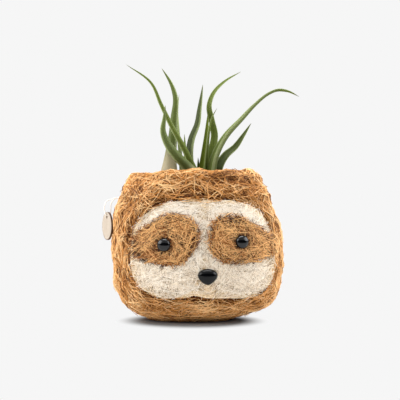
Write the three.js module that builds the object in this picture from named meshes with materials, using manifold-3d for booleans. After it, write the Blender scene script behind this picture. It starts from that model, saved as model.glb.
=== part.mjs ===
// Coconut-fibre planter with a sloth's face, a hang tag and a bulbous air plant.
// Millimetres, +Z up, origin on the flat base below the middle of the belly; the face looks along -Y.
import * as THREE from "three";
import { mergeVertices } from "three/addons/utils/BufferGeometryUtils.js";
import Module from "manifold-3d";

// Pot outline: a rounded-square plan that swells to the belly and closes in to the mouth.
const BASE_HALF_WIDTH = 22;
const BASE_POWER = 2.6;
const BELLY_HALF_WIDTH = 65;
const BELLY_HEIGHT = 53;
const SHOULDER_HALF_WIDTH = 51;
const RIM_HEIGHT = 113.5;
const DEPTH_RATIO = 0.92;
const PLAN_POWER = 2.4;
const MOUTH_LEAN = -3.5;
const FOOT_LEAN = -6;
const FOOT_RISE = 18;

// Uneven lay of the coir: soft lumps over the outside of the shell and the collar.
const LUMP_HEIGHT = 0.8;
const LUMP_SPACING = 17;
const LUMP_WAVES = 7;

// Mouth, cavity and the rolled collar that rests on the shell.
const MOUTH_RADIUS = 40;
const CAVITY_FLOOR = 42;
const CAVITY_FILLET = 10;
const COLLAR_HEIGHT = 21;
const BROW_PROUD = 1;
const ROLL_HEIGHT = 7;

// Face panel in its window.
const MASK_WIDTH = 105;
const MASK_HEIGHT = 70;
const MASK_TAPER = 0.05;
const MASK_SKEW = 1.8;
const MASK_TOP_POWER = 3;
const MASK_FOOT_POWER = 3.7;
const MASK_THICKNESS = 5;
const MASK_INSET = 0.2;
const MASK_MARGIN = 2.4;
const MUZZLE_RISE = 3.5;
const MUZZLE_RADIUS = 24;

// Brown patches round the eyes.
const PATCH_WIDTH = 46.8;
const PATCH_HEIGHT = 36.5;
const PATCH_TAPER = 0.3;
const PATCH_DROOP = 3.5;
const PATCH_THICKNESS = 1.2;
const PATCH_BRIDGE = 5;
const PATCH_SHIFT = 0.2;
const LEFT_PATCH_SLANT = 0.36;
const RIGHT_PATCH_SLANT = -0.15;
const RIGHT_PATCH_SHARE = 0.9;

// Places on the face: levels are shares of the panel's height down from its top, and offsets are
// shares of its half-width from the middle. The eyes are set by hand, a little unevenly.
const PATCH_LEVEL = 0.411;
const LEFT_EYE_LEVEL = 0.448;
const LEFT_EYE_OFFSET = -0.549;
const RIGHT_EYE_LEVEL = 0.421;
const RIGHT_EYE_OFFSET = 0.51;
const NOSE_LEVEL = 0.769;
const NOSE_OFFSET = 0.035;

// Eyes, nose and the lock washers on their pegs.
const EYE_DIAMETER = 10;
const EYE_DOME = 4.2;
const NOSE_WIDTH = 15.4;
const NOSE_HEIGHT = 11.8;
const NOSE_DOME = 5;
const DOME_EDGE = 0.6;
const PEG_DIAMETER = 4;
const PEG_PAST_WASHER = 2.5;
const WASHER_DIAMETER = 13;
const WASHER_THICKNESS = 1;
const WASHER_TEETH = 6;

// Wooden tag and its thread.
const TAG_DIAMETER = 21.6;
const TAG_THICKNESS = 1.6;
const TAG_HOLE = 3.2;
const TAG_HOLE_MARGIN = 1.8;
const TAG_TURN = 16;
const TAG_STANDOFF = 4.2;
const TAG_BACK = 5.8;
const THREAD_DIAMETER = 0.8;
const THREAD_FALL = 14.1;
const THREAD_REACH = 2.4;

// Plant: the bulb stands on the cavity floor and carries the leaves.
const BULB_RADIUS = 26;
const BULB_HEIGHT = 70;
const BULB_FOOT = 9;
const BULB_WAIST = 44;
const LEAF_SPAN = 100;
const LEAF_THICKNESS = 0.34;
const LEAF_CURL = 0.3;

// Clearances.
const SEAT_GAP = 0.3;
const PATCH_GAP = 0.4;
const PEG_CLEARANCE = 0.3;

// Derived heights.
const COLLAR_SEAT = RIM_HEIGHT - COLLAR_HEIGHT;
const SHELL_TOP = COLLAR_SEAT - SEAT_GAP;
const MASK_TOP = SHELL_TOP - MASK_MARGIN;
const MASK_CENTRE = MASK_TOP - MASK_HEIGHT / 2;
const PATCH_CENTRE = MASK_TOP - PATCH_LEVEL * MASK_HEIGHT;
const NOSE_CENTRE = MASK_TOP - NOSE_LEVEL * MASK_HEIGHT;
const NOSE_MIDDLE = (NOSE_OFFSET * MASK_WIDTH) / 2;
const ROUND_STEPS = 52;
const MOUTH_RISE = RIM_HEIGHT - BELLY_HEIGHT;

const EYES = [
  {
    side: "left", sign: -1, offset: LEFT_EYE_OFFSET, level: LEFT_EYE_LEVEL,
    slant: LEFT_PATCH_SLANT, patchHeight: PATCH_HEIGHT,
  },
  {
    side: "right", sign: 1, offset: RIGHT_EYE_OFFSET, level: RIGHT_EYE_LEVEL,
    slant: RIGHT_PATCH_SLANT, patchHeight: PATCH_HEIGHT * RIGHT_PATCH_SHARE,
  },
];

// Leaves: where each is rooted on the bulb's dome (turn in degrees from +X, and reach from the axis as
// a share of the bulb's radius), its width, its flare at the root, the roll of its root and its twist in
// degrees, and its way from the root. Widths and ways are in hundredths of the leaf span.
const LEAVES = [
  {
    turn: -81, reach: 0.388, width: 4.6, flare: 0.5, twist: 30,
    way: [
      [-8.2, -3, 17.5], [-19.4, -5, 37.5], [-27.2, -7, 53], [-35.2, -10, 69.2],
      [-54.4, -14.5, 82.4],
    ],
  },
  {
    turn: -78, reach: 0.669, width: 7.8, flare: 0.3, roll: 30, twist: -40,
    way: [
      [-6, -2, 11.1], [-17.2, -5, 19.4], [-24.6, -7, 28], [-28.2, -8, 37.2],
      [-27.4, -8, 46.2], [-26.6, -8, 56.5],
    ],
  },
  {
    turn: 174, reach: 0.754, width: 8.6, flare: 2.3, roll: 75, twist: -25,
    way: [
      [0.6, 1, 11.8], [2.2, 3, 25.8], [3.9, 5, 38.8], [5, 7, 51.8],
      [6.3, 9, 65.8], [3.4, 12, 77.5], [-4, 16, 91],
    ],
  },
  {
    turn: 127, reach: 0.481, width: 6.2, flare: 0.4, roll: 45, twist: 10,
    way: [
      [-1, 4, 17], [-2.4, 10, 35], [-2.8, 17, 51], [-1, 24, 66.2],
    ],
  },
  {
    turn: 117, reach: 0.131, width: 9.2, flare: 0, roll: 75, twist: 20,
    way: [
      [-1, 2, 15.9], [0.6, 4, 25.9], [5.2, 6, 37.9], [7, 8, 48.9],
      [10.3, 12, 69.4],
    ],
  },
  {
    turn: 204, reach: 0.231, width: 4, flare: 0, twist: 20,
    way: [
      [-0.9, 0.5, 14.4], [-1.4, 2.5, 30.4],
    ],
  },
  {
    turn: -52, reach: 0.219, width: 3.6, flare: 0, twist: 10,
    way: [
      [0, -1, 6], [-0.4, -2.5, 12],
    ],
  },
  {
    turn: 43, reach: 0.512, width: 6.6, flare: 0.3, roll: 40, twist: -50,
    way: [
      [6.2, 2, 22.2], [8.2, 4, 32.5], [6.2, 6, 44.5], [4.4, 8, 56],
      [8.3, 11, 66.8], [17.2, 15, 76], [30.8, 19, 84.4],
    ],
  },
  {
    turn: 25, reach: 0.277, width: 5.6, flare: 0, roll: 30, twist: 20,
    way: [
      [2.6, -2, 18.5], [3.7, -4, 29.8], [4.5, -7, 46.8],
    ],
  },
  {
    turn: -23, reach: 0.346, width: 5.6, flare: 0, roll: 30, twist: -30,
    way: [
      [1.5, -2.5, 18.4], [3, -5.5, 33.7], [5.2, -7.5, 43.4], [9, -10.5, 50.5],
    ],
  },
  {
    turn: -37, reach: 0.577, width: 7.4, flare: 0.5, roll: 54, twist: -20,
    way: [
      [3.4, -2, 16.6], [11.4, -4, 32.1], [23.7, -7, 45.8], [36.4, -10, 58.6],
      [49.3, -13, 66.4], [66.7, -16, 61.3],
    ],
  },
  {
    turn: 9, reach: 0.719, width: 8.2, flare: 0.5, roll: 60, twist: -20,
    way: [
      [1.8, 1, 11.9], [7.5, 3, 21.1], [15.2, 5, 27.9], [21.3, 6, 36.6],
      [27.8, 7, 46.8],
    ],
  },
];

const wasm = await Module();
wasm.setup();

const COIR = { color: 0xb5763a, roughness: 0.95, metalness: 0 };
const COLLAR_COIR = { color: 0xc08344, roughness: 0.95, metalness: 0 };
const CREAM = { color: 0xe6d7be, roughness: 0.95, metalness: 0 };
const PATCH_BROWN = { color: 0x9a6334, roughness: 0.95, metalness: 0 };
const GLOSS_BLACK = { color: 0x0b0b0c, roughness: 0.08, metalness: 0 };
const WASHER_WHITE = { color: 0xe9e9e4, roughness: 0.5, metalness: 0 };
const WOOD = { color: 0xe4d6c2, roughness: 0.7, metalness: 0 };
const THREAD = { color: 0xe0d6c4, roughness: 0.9, metalness: 0 };
const BULB_GREY = { color: 0xa79f84, roughness: 0.8, metalness: 0 };
const LEAF_GREEN = { color: 0x6f8350, roughness: 0.6, metalness: 0 };

/** A named mesh with its own standard material. */
function piece(name, geometry, finish) {
  const mesh = new THREE.Mesh(geometry, new THREE.MeshStandardMaterial(finish));
  mesh.name = name;
  return mesh;
}

/** Skins rings of points, in order; a ring of one point closes an end, or the last ring meets the first. */
function loft(rings, looped = false) {
  const points = rings.flat();
  const starts = [];
  let count = 0;
  for (const ring of rings) {
    starts.push(count);
    count += ring.length;
  }
  const faces = [];
  const spans = looped ? rings.length : rings.length - 1;
  for (let i = 0; i < spans; i += 1) {
    const next = (i + 1) % rings.length;
    const round = Math.max(rings[i].length, rings[next].length);
    for (let j = 0; j < round; j += 1) {
      const k = (j + 1) % round;
      const low = (n) => starts[i] + (rings[i].length === 1 ? 0 : n);
      const high = (n) => starts[next] + (rings[next].length === 1 ? 0 : n);
      if (rings[i].length > 1) faces.push([low(j), low(k), high(k)]);
      if (rings[next].length > 1) faces.push([low(j), high(k), high(j)]);
    }
  }
  const volume = faces.reduce((sum, [a, b, c]) => {
    return sum + points[a].dot(new THREE.Vector3().crossVectors(points[b], points[c]));
  }, 0);
  const wound = volume < 0 ? faces.map(([a, b, c]) => [a, c, b]) : faces;
  const geometry = new THREE.BufferGeometry().setFromPoints(points);
  geometry.setIndex(wound.flat());
  geometry.computeVertexNormals();
  return geometry;
}

/** Closed solid of a geometry, for cutting. */
function solidOf(geometry) {
  const bare = geometry.clone();
  bare.deleteAttribute("normal");
  bare.deleteAttribute("uv");
  const merged = mergeVertices(bare, 1e-4);
  const index = merged.index.array;
  const kept = [];
  for (let i = 0; i < index.length; i += 3) {
    const [a, b, c] = [index[i], index[i + 1], index[i + 2]];
    if (a !== b && b !== c && c !== a) kept.push(a, b, c);
  }
  return new wasm.Manifold(
    new wasm.Mesh({
      numProp: 3,
      vertProperties: merged.attributes.position.array,
      triVerts: new Uint32Array(kept),
    }),
  );
}

/** Geometry with other geometries cut away. */
function cut(geometry, tools) {
  let solid = solidOf(geometry);
  for (const tool of tools) solid = solid.subtract(solidOf(tool));
  const mesh = solid.getMesh();
  const result = new THREE.BufferGeometry();
  result.setAttribute("position", new THREE.BufferAttribute(new Float32Array(mesh.vertProperties), 3));
  result.setIndex(new THREE.BufferAttribute(new Uint32Array(mesh.triVerts), 1));
  result.computeVertexNormals();
  return result;
}

/** Half-width of the pot at a height. */
function halfWidth(z) {
  if (z < BELLY_HEIGHT) {
    const fall = (1 - Math.max(z, 0) / BELLY_HEIGHT) ** BASE_POWER;
    return BASE_HALF_WIDTH + (BELLY_HALF_WIDTH - BASE_HALF_WIDTH) * (1 - fall) ** (1 / BASE_POWER);
  }
  const rise = (z - BELLY_HEIGHT) / (MOUTH_RISE - ROLL_HEIGHT);
  return BELLY_HALF_WIDTH - (BELLY_HALF_WIDTH - SHOULDER_HALF_WIDTH) * rise * rise;
}

/** Sideways lean of the pot's middle at a height: its foot and its mouth stand off the belly's middle. */
function lean(z) {
  const foot = FOOT_LEAN * Math.max(1 - Math.max(z, 0) / FOOT_RISE, 0) ** 2;
  return foot + MOUTH_LEAN * THREE.MathUtils.smoothstep(z, BELLY_HEIGHT, COLLAR_SEAT);
}

const signedPower = (value, power) => Math.sign(value) * Math.abs(value) ** power;

/** Ring of points: a rounded-square section of the pot, or a round one for the mouth. */
function ring(half, z, power = PLAN_POWER, ratio = DEPTH_RATIO, shift = lean(z)) {
  return Array.from({ length: ROUND_STEPS }, (_, i) => {
    const angle = (2 * Math.PI * i) / ROUND_STEPS;
    const x = half * signedPower(Math.cos(angle), 2 / power);
    const y = half * ratio * signedPower(Math.sin(angle), 2 / power);
    return new THREE.Vector3(x + shift, y, z);
  });
}

/** Rise of the hand-laid coir at a point: crossing waves that die out at the foot and at the seam. */
function lump(point) {
  const goldenTurn = Math.PI * (3 - Math.sqrt(5));
  let sum = 0;
  for (let i = 0; i < LUMP_WAVES; i += 1) {
    const rise = (2 * i + 1) / LUMP_WAVES - 1;
    const level = Math.sqrt(1 - rise * rise);
    const turn = i * goldenTurn;
    const wave = new THREE.Vector3(level * Math.sin(turn), level * Math.cos(turn), rise);
    sum += Math.sin((2 * Math.PI * wave.dot(point)) / (LUMP_SPACING * (0.85 + 0.2 * i)) + i * i);
  }
  const foot = THREE.MathUtils.smoothstep(point.z, LUMP_SPACING / 8, LUMP_SPACING);
  const seam = THREE.MathUtils.smoothstep(Math.abs(point.z - COLLAR_SEAT), 0, LUMP_SPACING / 2);
  return LUMP_HEIGHT * Math.sqrt(2 / LUMP_WAVES) * sum * foot * seam;
}

const mouthRing = (radius, z) => ring(radius, z, 2, 1, MOUTH_LEAN);

/** How far outside the pot's outline a point lies: negative inside, zero on it. */
function outside(point) {
  const half = halfWidth(point.z);
  const across = Math.abs((point.x - lean(point.z)) / half) ** PLAN_POWER;
  const along = Math.abs(point.y / (half * DEPTH_RATIO)) ** PLAN_POWER;
  return across + along - 1;
}

/** Outward direction of the pot's surface at a point on it. */
function outward(point) {
  const step = 0.05;
  const slope = (axis) => {
    const move = new THREE.Vector3().setComponent(axis, step);
    return outside(point.clone().add(move)) - outside(point.clone().sub(move));
  };
  return new THREE.Vector3(slope(0), slope(1), slope(2)).normalize();
}

/** Ring of the pot's outside with its lumps. */
function lumpyRing(...shape) {
  return ring(...shape).map((point) => point.addScaledVector(outward(point), lump(point)));
}

/** Point over the front of the pot, raised off the surface along its own direction. */
function facePoint(x, z, lift) {
  const half = halfWidth(z);
  const across = Math.min(Math.abs((x - lean(z)) / half), 0.999) ** PLAN_POWER;
  const point = new THREE.Vector3(x, -half * DEPTH_RATIO * (1 - across) ** (1 / PLAN_POWER), z);
  return point.addScaledVector(outward(point), lift);
}

/** Pad on the face: an outline filled in rings between two lifts, which may vary over it. */
function facePad(outline, back, front, steps = 40, rows = 4) {
  const layer = (share, lift) => {
    if (share === 0) {
      const [x, z] = outline(0, 0);
      return [facePoint(x, z, lift(x, z, 0))];
    }
    return Array.from({ length: steps }, (_, i) => {
      const [x, z] = outline((2 * Math.PI * i) / steps, share);
      return facePoint(x, z, lift(x, z, share));
    });
  };
  const shares = Array.from({ length: rows + 1 }, (_, i) => i / rows);
  const rings = shares.map((share) => layer(share, back));
  rings.push(...shares.reverse().map((share) => layer(share, front)));
  return loft(rings);
}

/** Outline of the face window, grown by a margin. */
function maskOutline(grow) {
  return (angle, share) => {
    const square = Math.sin(angle) > 0 ? MASK_TOP_POWER : MASK_FOOT_POWER;
    const rise = signedPower(Math.sin(angle), 2 / square) * share;
    const width = (MASK_WIDTH / 2 + grow) * (1 - MASK_TAPER * rise);
    const x = width * signedPower(Math.cos(angle), 2 / square) * share;
    return [x + MASK_SKEW * rise * rise, MASK_CENTRE + (MASK_HEIGHT / 2 + grow) * rise];
  };
}

/** Outline of an eye patch: tall by the nose, lower and drooping at its outer end, its inner foot slanted. */
function patchOutline(eye) {
  return (angle, share) => {
    const rise = signedPower(Math.sin(angle), 0.85) * share;
    const run = signedPower(Math.cos(angle), 0.85) * share;
    const across = run + eye.slant * Math.max(-run, 0) * Math.max(-rise, 0);
    const x = PATCH_BRIDGE / 2 + (PATCH_WIDTH / 2) * (1 + across);
    const height = (eye.patchHeight / 2) * (1 - PATCH_TAPER * across);
    return [eye.sign * x + PATCH_SHIFT, PATCH_CENTRE + height * rise - PATCH_DROOP * across];
  };
}

/** Lift of the mask's front: set in from the shell, swelling at the muzzle, rolled at its edge. */
function maskFront(x, z, share = 0) {
  const away = Math.hypot(x - NOSE_MIDDLE, z - NOSE_CENTRE) / MUZZLE_RADIUS;
  const roll = share > 0.99 ? 0.8 : 0;
  return MUZZLE_RISE * Math.exp(-2 * away * away) - MASK_INSET - roll;
}

const maskBack = () => -MASK_INSET - MASK_THICKNESS;
const patchBack = (x, z) => maskFront(x, z) + PATCH_GAP;
const patchFront = (x, z, share) => patchBack(x, z) + PATCH_THICKNESS * (share > 0.99 ? 0.4 : 1);

/** Place of a face fitting: a spot on the face and the turn that points +Z straight out of it. */
function fittingPlace(x, z, lift) {
  const direction = outward(facePoint(x, z, 0));
  const turn = new THREE.Quaternion().setFromUnitVectors(new THREE.Vector3(0, 0, 1), direction);
  return { position: facePoint(x, z, lift), turn };
}

const eyePlaces = EYES.map((eye) => {
  const x = (eye.offset * MASK_WIDTH) / 2;
  const z = MASK_TOP - eye.level * MASK_HEIGHT;
  const lift = patchFront(x, z, 0) + SEAT_GAP;
  return { ...eye, lift, ...fittingPlace(x, z, lift) };
});
const noseLift = maskFront(NOSE_MIDDLE, NOSE_CENTRE) + SEAT_GAP;
const nosePlace = { lift: noseLift, ...fittingPlace(NOSE_MIDDLE, NOSE_CENTRE, noseLift) };

/** Depth of the washer's face under a fitting's seat: let into the back of the mask. */
const washerDepth = (place) => place.lift - maskBack();
const pegLength = (place) => washerDepth(place) + WASHER_THICKNESS + PEG_PAST_WASHER;

/** Moves a geometry drawn round +Z to a fitting's place. */
function moveTo(geometry, place) {
  return geometry.applyQuaternion(place.turn).translate(...place.position.toArray());
}

/** Round bar along +Z between two heights. */
function bar(diameter, low, high, sides = 16) {
  const radius = diameter / 2;
  const geometry = new THREE.CylinderGeometry(radius, radius, high - low, sides);
  return geometry.rotateX(Math.PI / 2).translate(0, 0, (low + high) / 2);
}

/** Turned solid from a profile of [radius, height] that starts and ends on the axis. */
function turned(profile, sides = 20) {
  const points = profile.map(([radius, height]) => new THREE.Vector2(radius, height));
  return new THREE.LatheGeometry(points, sides).rotateX(Math.PI / 2).rotateZ(Math.PI);
}

/** Ribbed peg profile from its tip up to the seat. */
function pegProfile(place) {
  const length = pegLength(place);
  const radius = PEG_DIAMETER / 2;
  const ribs = 4;
  const profile = [[0, -length], [radius * 0.7, -length]];
  for (let i = 0; i < ribs; i += 1) {
    const low = -length + ((i + 0.4) * length) / (ribs + 1);
    profile.push([radius, low], [radius * 0.86, low + length / (ribs + 3)]);
  }
  profile.push([radius, -length / (ribs + 1)]);
  return profile;
}

function buildEye(place) {
  const profile = pegProfile(place);
  profile.push([PEG_DIAMETER / 2, 0], [EYE_DIAMETER / 2 - DOME_EDGE, 0]);
  const steps = 7;
  for (let i = 0; i < steps; i += 1) {
    const angle = (i / steps) * (Math.PI / 2);
    const height = DOME_EDGE + (EYE_DOME - DOME_EDGE) * Math.sin(angle);
    profile.push([(EYE_DIAMETER / 2) * Math.cos(angle), height]);
  }
  profile.push([0, EYE_DOME]);
  return piece("eye_" + place.side, moveTo(turned(profile, 16), place), GLOSS_BLACK);
}

/** Nose: rounded triangle, wide at the top, domed; local +Y is up the face. */
function buildNose(place) {
  const steps = 20;
  const outline = (share, height) =>
    Array.from({ length: steps }, (_, i) => {
      const angle = (2 * Math.PI * i) / steps;
      const rise = Math.sin(angle);
      const taper = 1 + 0.34 * rise - 0.12 * rise * rise;
      const x = (NOSE_WIDTH / 2.2) * Math.cos(angle) * taper * share;
      return new THREE.Vector3(x, (NOSE_HEIGHT / 2) * rise * share, height);
    });
  const pegRing = (radius, height) =>
    Array.from({ length: steps }, (_, i) => {
      const angle = (2 * Math.PI * i) / steps;
      return new THREE.Vector3(radius * Math.cos(angle), radius * Math.sin(angle), height);
    });
  const rings = pegProfile(place).slice(1).map(([radius, height]) => pegRing(radius, height));
  rings.unshift([new THREE.Vector3(0, 0, -pegLength(place))]);
  rings.push(pegRing(PEG_DIAMETER / 2, 0), outline(0.94, 0));
  for (let i = 0; i < 6; i += 1) {
    const angle = (i / 6) * (Math.PI / 2);
    rings.push(outline(Math.cos(angle), DOME_EDGE + (NOSE_DOME - DOME_EDGE) * Math.sin(angle)));
  }
  rings.push([new THREE.Vector3(0, 0, NOSE_DOME)]);
  const upright = loft(rings);
  const up = new THREE.Vector3(0, 1, 0).applyQuaternion(place.turn);
  const spin = Math.atan2(up.x, up.z);
  return piece("nose", moveTo(upright.rotateZ(spin), place), GLOSS_BLACK);
}

/** Lock washer: a disc with teeth round its hole. */
function buildWasher(name, place) {
  const disc = new THREE.Shape().absarc(0, 0, WASHER_DIAMETER / 2, 0, 2 * Math.PI);
  const grip = PEG_DIAMETER / 2 + PEG_CLEARANCE;
  const hole = new THREE.Path();
  for (let i = 0; i < 2 * WASHER_TEETH; i += 1) {
    const radius = i % 2 ? grip * 1.5 : grip * 1.06;
    const angle = (Math.PI * i) / WASHER_TEETH;
    const [x, y] = [radius * Math.cos(angle), radius * Math.sin(angle)];
    if (i === 0) hole.moveTo(x, y);
    else hole.lineTo(x, y);
  }
  hole.closePath();
  disc.holes.push(hole);
  const geometry = new THREE.ExtrudeGeometry(disc, {
    depth: WASHER_THICKNESS,
    bevelEnabled: false,
    curveSegments: 12,
  });
  geometry.translate(0, 0, -washerDepth(place) - WASHER_THICKNESS);
  return piece(name, moveTo(geometry, place), WASHER_WHITE);
}

const pegHole = (place) =>
  moveTo(bar(PEG_DIAMETER + 2 * PEG_CLEARANCE, -pegLength(place) - SEAT_GAP, EYE_DOME), place);
const washerPocket = (place) => {
  const floor = -washerDepth(place) - WASHER_THICKNESS - SEAT_GAP;
  return moveTo(bar(WASHER_DIAMETER + 2 * SEAT_GAP, floor, EYE_DOME, 20), place);
};
const washerSpot = (place) => {
  const end = -pegLength(place) - SEAT_GAP;
  return moveTo(bar(WASHER_DIAMETER + 2 * SEAT_GAP, end, SEAT_GAP - washerDepth(place), 20), place);
};
const fittings = [...eyePlaces, nosePlace];

/** Pot body: outline up to the seat, the round cavity, the face window and the washer pockets. */
function buildShell() {
  const rings = [[new THREE.Vector3(lean(0), 0, 0)]];
  const lower = 10;
  for (let i = 0; i <= lower; i += 1) {
    const z = BELLY_HEIGHT * (1 - Math.cos((i / lower) * (Math.PI / 2)));
    rings.push(lumpyRing(halfWidth(z), z));
  }
  const upper = 8;
  for (let i = 1; i <= upper; i += 1) {
    const z = BELLY_HEIGHT + ((SHELL_TOP - BELLY_HEIGHT) * i) / upper;
    rings.push(i < upper ? lumpyRing(halfWidth(z), z) : ring(halfWidth(z), z));
  }
  rings.push(mouthRing(MOUTH_RADIUS, SHELL_TOP));
  const corner = 4;
  for (let i = 0; i <= corner; i += 1) {
    const angle = (i / corner) * (Math.PI / 2);
    const radius = MOUTH_RADIUS - CAVITY_FILLET * (1 - Math.cos(angle));
    rings.push(mouthRing(radius, CAVITY_FLOOR + CAVITY_FILLET * (1 - Math.sin(angle))));
  }
  rings.push([new THREE.Vector3(MOUTH_LEAN, 0, CAVITY_FLOOR)]);
  const depth = () => maskBack() - SEAT_GAP;
  const window = facePad(maskOutline(SEAT_GAP), depth, () => 2 * MASK_THICKNESS);
  const tools = [window, ...fittings.map(washerPocket), ...fittings.map(pegHole)];
  return piece("coir_shell", cut(loft(rings), tools), COIR);
}

/** Collar: brow lip at its foot, an outer wall, a rolled top and the round inner wall. */
function buildCollar() {
  const rings = [];
  const lipHeight = 3;
  const shoulder = RIM_HEIGHT - ROLL_HEIGHT;
  const brow = (z) => Math.cos(((z - COLLAR_SEAT) / (shoulder - COLLAR_SEAT)) * (Math.PI / 2));
  const outer = (z) => halfWidth(z) + BROW_PROUD * brow(z);
  rings.push(ring(outer(COLLAR_SEAT) - 2.2, COLLAR_SEAT));
  rings.push(ring(outer(COLLAR_SEAT + lipHeight / 4) - 0.6, COLLAR_SEAT + lipHeight / 4));
  const wall = 4;
  for (let i = 0; i <= wall; i += 1) {
    const z = COLLAR_SEAT + lipHeight + ((shoulder - COLLAR_SEAT - lipHeight) * i) / wall;
    rings.push(lumpyRing(outer(z), z));
  }
  const crest = (SHOULDER_HALF_WIDTH * DEPTH_RATIO + MOUTH_RADIUS) / 2;
  const spread = SHOULDER_HALF_WIDTH - crest;
  for (let i = 1; i <= 4; i += 1) {
    const angle = (i / 4) * (Math.PI / 2);
    const share = Math.sin(angle);
    const half = crest + spread * Math.cos(angle);
    const power = PLAN_POWER + (2 - PLAN_POWER) * share * 0.6;
    const ratio = DEPTH_RATIO + (1 - DEPTH_RATIO) * share * 0.6;
    rings.push(ring(half, shoulder + ROLL_HEIGHT * share, power, ratio));
  }
  const inner = crest - MOUTH_RADIUS;
  for (let i = 1; i <= 3; i += 1) {
    const angle = (i / 3) * (Math.PI / 2);
    const radius = MOUTH_RADIUS + inner * (1 - Math.sin(angle));
    rings.push(mouthRing(radius, RIM_HEIGHT - inner * (1 - Math.cos(angle))));
  }
  rings.push(mouthRing(MOUTH_RADIUS, COLLAR_SEAT));
  return piece("rim_collar", loft(rings, true), COLLAR_COIR);
}

function buildMask() {
  const pad = facePad(maskOutline(0), maskBack, maskFront);
  return piece("face_mask", cut(pad, [...fittings.map(pegHole), ...fittings.map(washerSpot)]), CREAM);
}

function buildPatch(place) {
  const pad = facePad(patchOutline(place), patchBack, patchFront, 24, 3);
  return piece("eye_patch_" + place.side, cut(pad, [pegHole(place)]), PATCH_BROWN);
}

// The tag hangs beside the pot from the seam under the collar.
const tagRadius = TAG_DIAMETER / 2;
const holeOffset = tagRadius - TAG_HOLE_MARGIN - TAG_HOLE / 2;
const holeHeight = COLLAR_SEAT - THREAD_FALL;
const tagCentre = holeHeight - holeOffset;
const tagNormal = new THREE.Vector3(-1, 0, 0).applyAxisAngle(
  new THREE.Vector3(0, 0, 1),
  THREE.MathUtils.degToRad(TAG_TURN),
);
const tagSide = lean(tagCentre) - halfWidth(tagCentre) - TAG_STANDOFF;
const tagPlace = new THREE.Vector3(tagSide, TAG_BACK, tagCentre);

function buildTag() {
  const disc = new THREE.Shape().absarc(0, 0, tagRadius, 0, 2 * Math.PI);
  disc.holes.push(new THREE.Path().absarc(0, holeOffset, TAG_HOLE / 2, 0, 2 * Math.PI));
  const bevel = 0.2;
  const geometry = new THREE.ExtrudeGeometry(disc, {
    depth: TAG_THICKNESS - 2 * bevel,
    bevelThickness: bevel,
    bevelSize: bevel,
    bevelOffset: -bevel,
    bevelSegments: 1,
    curveSegments: 14,
  });
  geometry.translate(0, 0, bevel - TAG_THICKNESS / 2).rotateX(Math.PI / 2);
  const tag = piece("hang_tag", geometry, WOOD);
  tag.position.copy(tagPlace);
  tag.rotation.z = Math.atan2(tagNormal.x, -tagNormal.y);
  return tag;
}

/** Thread: out of the seam, over and down the tag's outer face, round through its hole and back. */
function buildThread() {
  const edge = lean(COLLAR_SEAT) - halfWidth(COLLAR_SEAT) - BROW_PROUD;
  const seam = (back) => new THREE.Vector3(edge - SEAT_GAP - THREAD_DIAMETER / 4, back, COLLAR_SEAT);
  const bearing = (TAG_HOLE - THREAD_DIAMETER) / 2 - 1.5 * SEAT_GAP;
  const hole = new THREE.Vector3(tagPlace.x, tagPlace.y, holeHeight + bearing);
  const by = (side, rise) => {
    return hole.clone().addScaledVector(tagNormal, side).add(new THREE.Vector3(0, 0, rise));
  };
  const out = seam(TAG_BACK - THREAD_DIAMETER);
  const back = seam(TAG_BACK + THREAD_DIAMETER);
  const turns = [75, 50, 25, 0, -25, -50, -75].map(THREE.MathUtils.degToRad);
  const route = [
    out,
    out.clone().add(new THREE.Vector3(-THREAD_REACH / 2, 0, -THREAD_DIAMETER / 8)),
    out.clone().add(new THREE.Vector3(-THREAD_REACH * 1.2, 0, -THREAD_DIAMETER * 0.8)),
    by(THREAD_REACH * 0.4, THREAD_FALL * 0.78),
    by(THREAD_REACH * 0.95, THREAD_FALL * 0.62),
    by(THREAD_REACH * 1.15, THREAD_FALL * 0.44),
    by(THREAD_REACH * 1.12, THREAD_FALL * 0.28),
    ...turns.map((turn) => by(THREAD_REACH * Math.sin(turn), THREAD_REACH * (1 - Math.cos(turn)))),
    by(-THREAD_REACH * 1.02, THREAD_FALL * 0.28),
    by(-THREAD_REACH * 1.02, THREAD_FALL * 0.44),
    by(-THREAD_REACH * 1.05, THREAD_FALL * 0.6),
    back.clone().add(new THREE.Vector3(-THREAD_REACH * 1.1, 0, -THREAD_REACH * 0.75)),
    back.clone().add(new THREE.Vector3(-THREAD_REACH * 0.5, 0, -THREAD_REACH * 0.2)),
    back,
  ];
  const sides = 8;
  const section = new THREE.Shape();
  for (let i = 0; i < sides; i += 1) {
    const angle = (2 * Math.PI * i) / sides;
    const [x, y] = [(THREAD_DIAMETER / 2) * Math.cos(angle), (THREAD_DIAMETER / 2) * Math.sin(angle)];
    if (i === 0) section.moveTo(x, y);
    else section.lineTo(x, y);
  }
  section.closePath();
  const path = new THREE.CatmullRomCurve3(route, false, "centripetal");
  const sweep = { steps: 42, extrudePath: path, bevelEnabled: false };
  return piece("tag_thread", new THREE.ExtrudeGeometry(section, sweep), THREAD);
}

/** Bulb profile grown by a gap: flat foot, swelling body, domed top. */
function bulbProfile(grow) {
  const profile = [[0, -grow], [BULB_FOOT + grow, -grow]];
  const low = 7;
  for (let i = 1; i <= low; i += 1) {
    const share = i / low;
    const radius = BULB_FOOT + (BULB_RADIUS - BULB_FOOT) * Math.sin((share * Math.PI) / 2);
    profile.push([radius + grow, BULB_WAIST * share]);
  }
  const dome = 6;
  for (let i = 1; i < dome; i += 1) {
    const angle = (i / dome) * (Math.PI / 2);
    const height = (BULB_HEIGHT - BULB_WAIST + grow) * Math.sin(angle);
    profile.push([(BULB_RADIUS + grow) * Math.cos(angle), BULB_WAIST + height]);
  }
  profile.push([0, BULB_HEIGHT + grow]);
  return profile;
}

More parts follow.
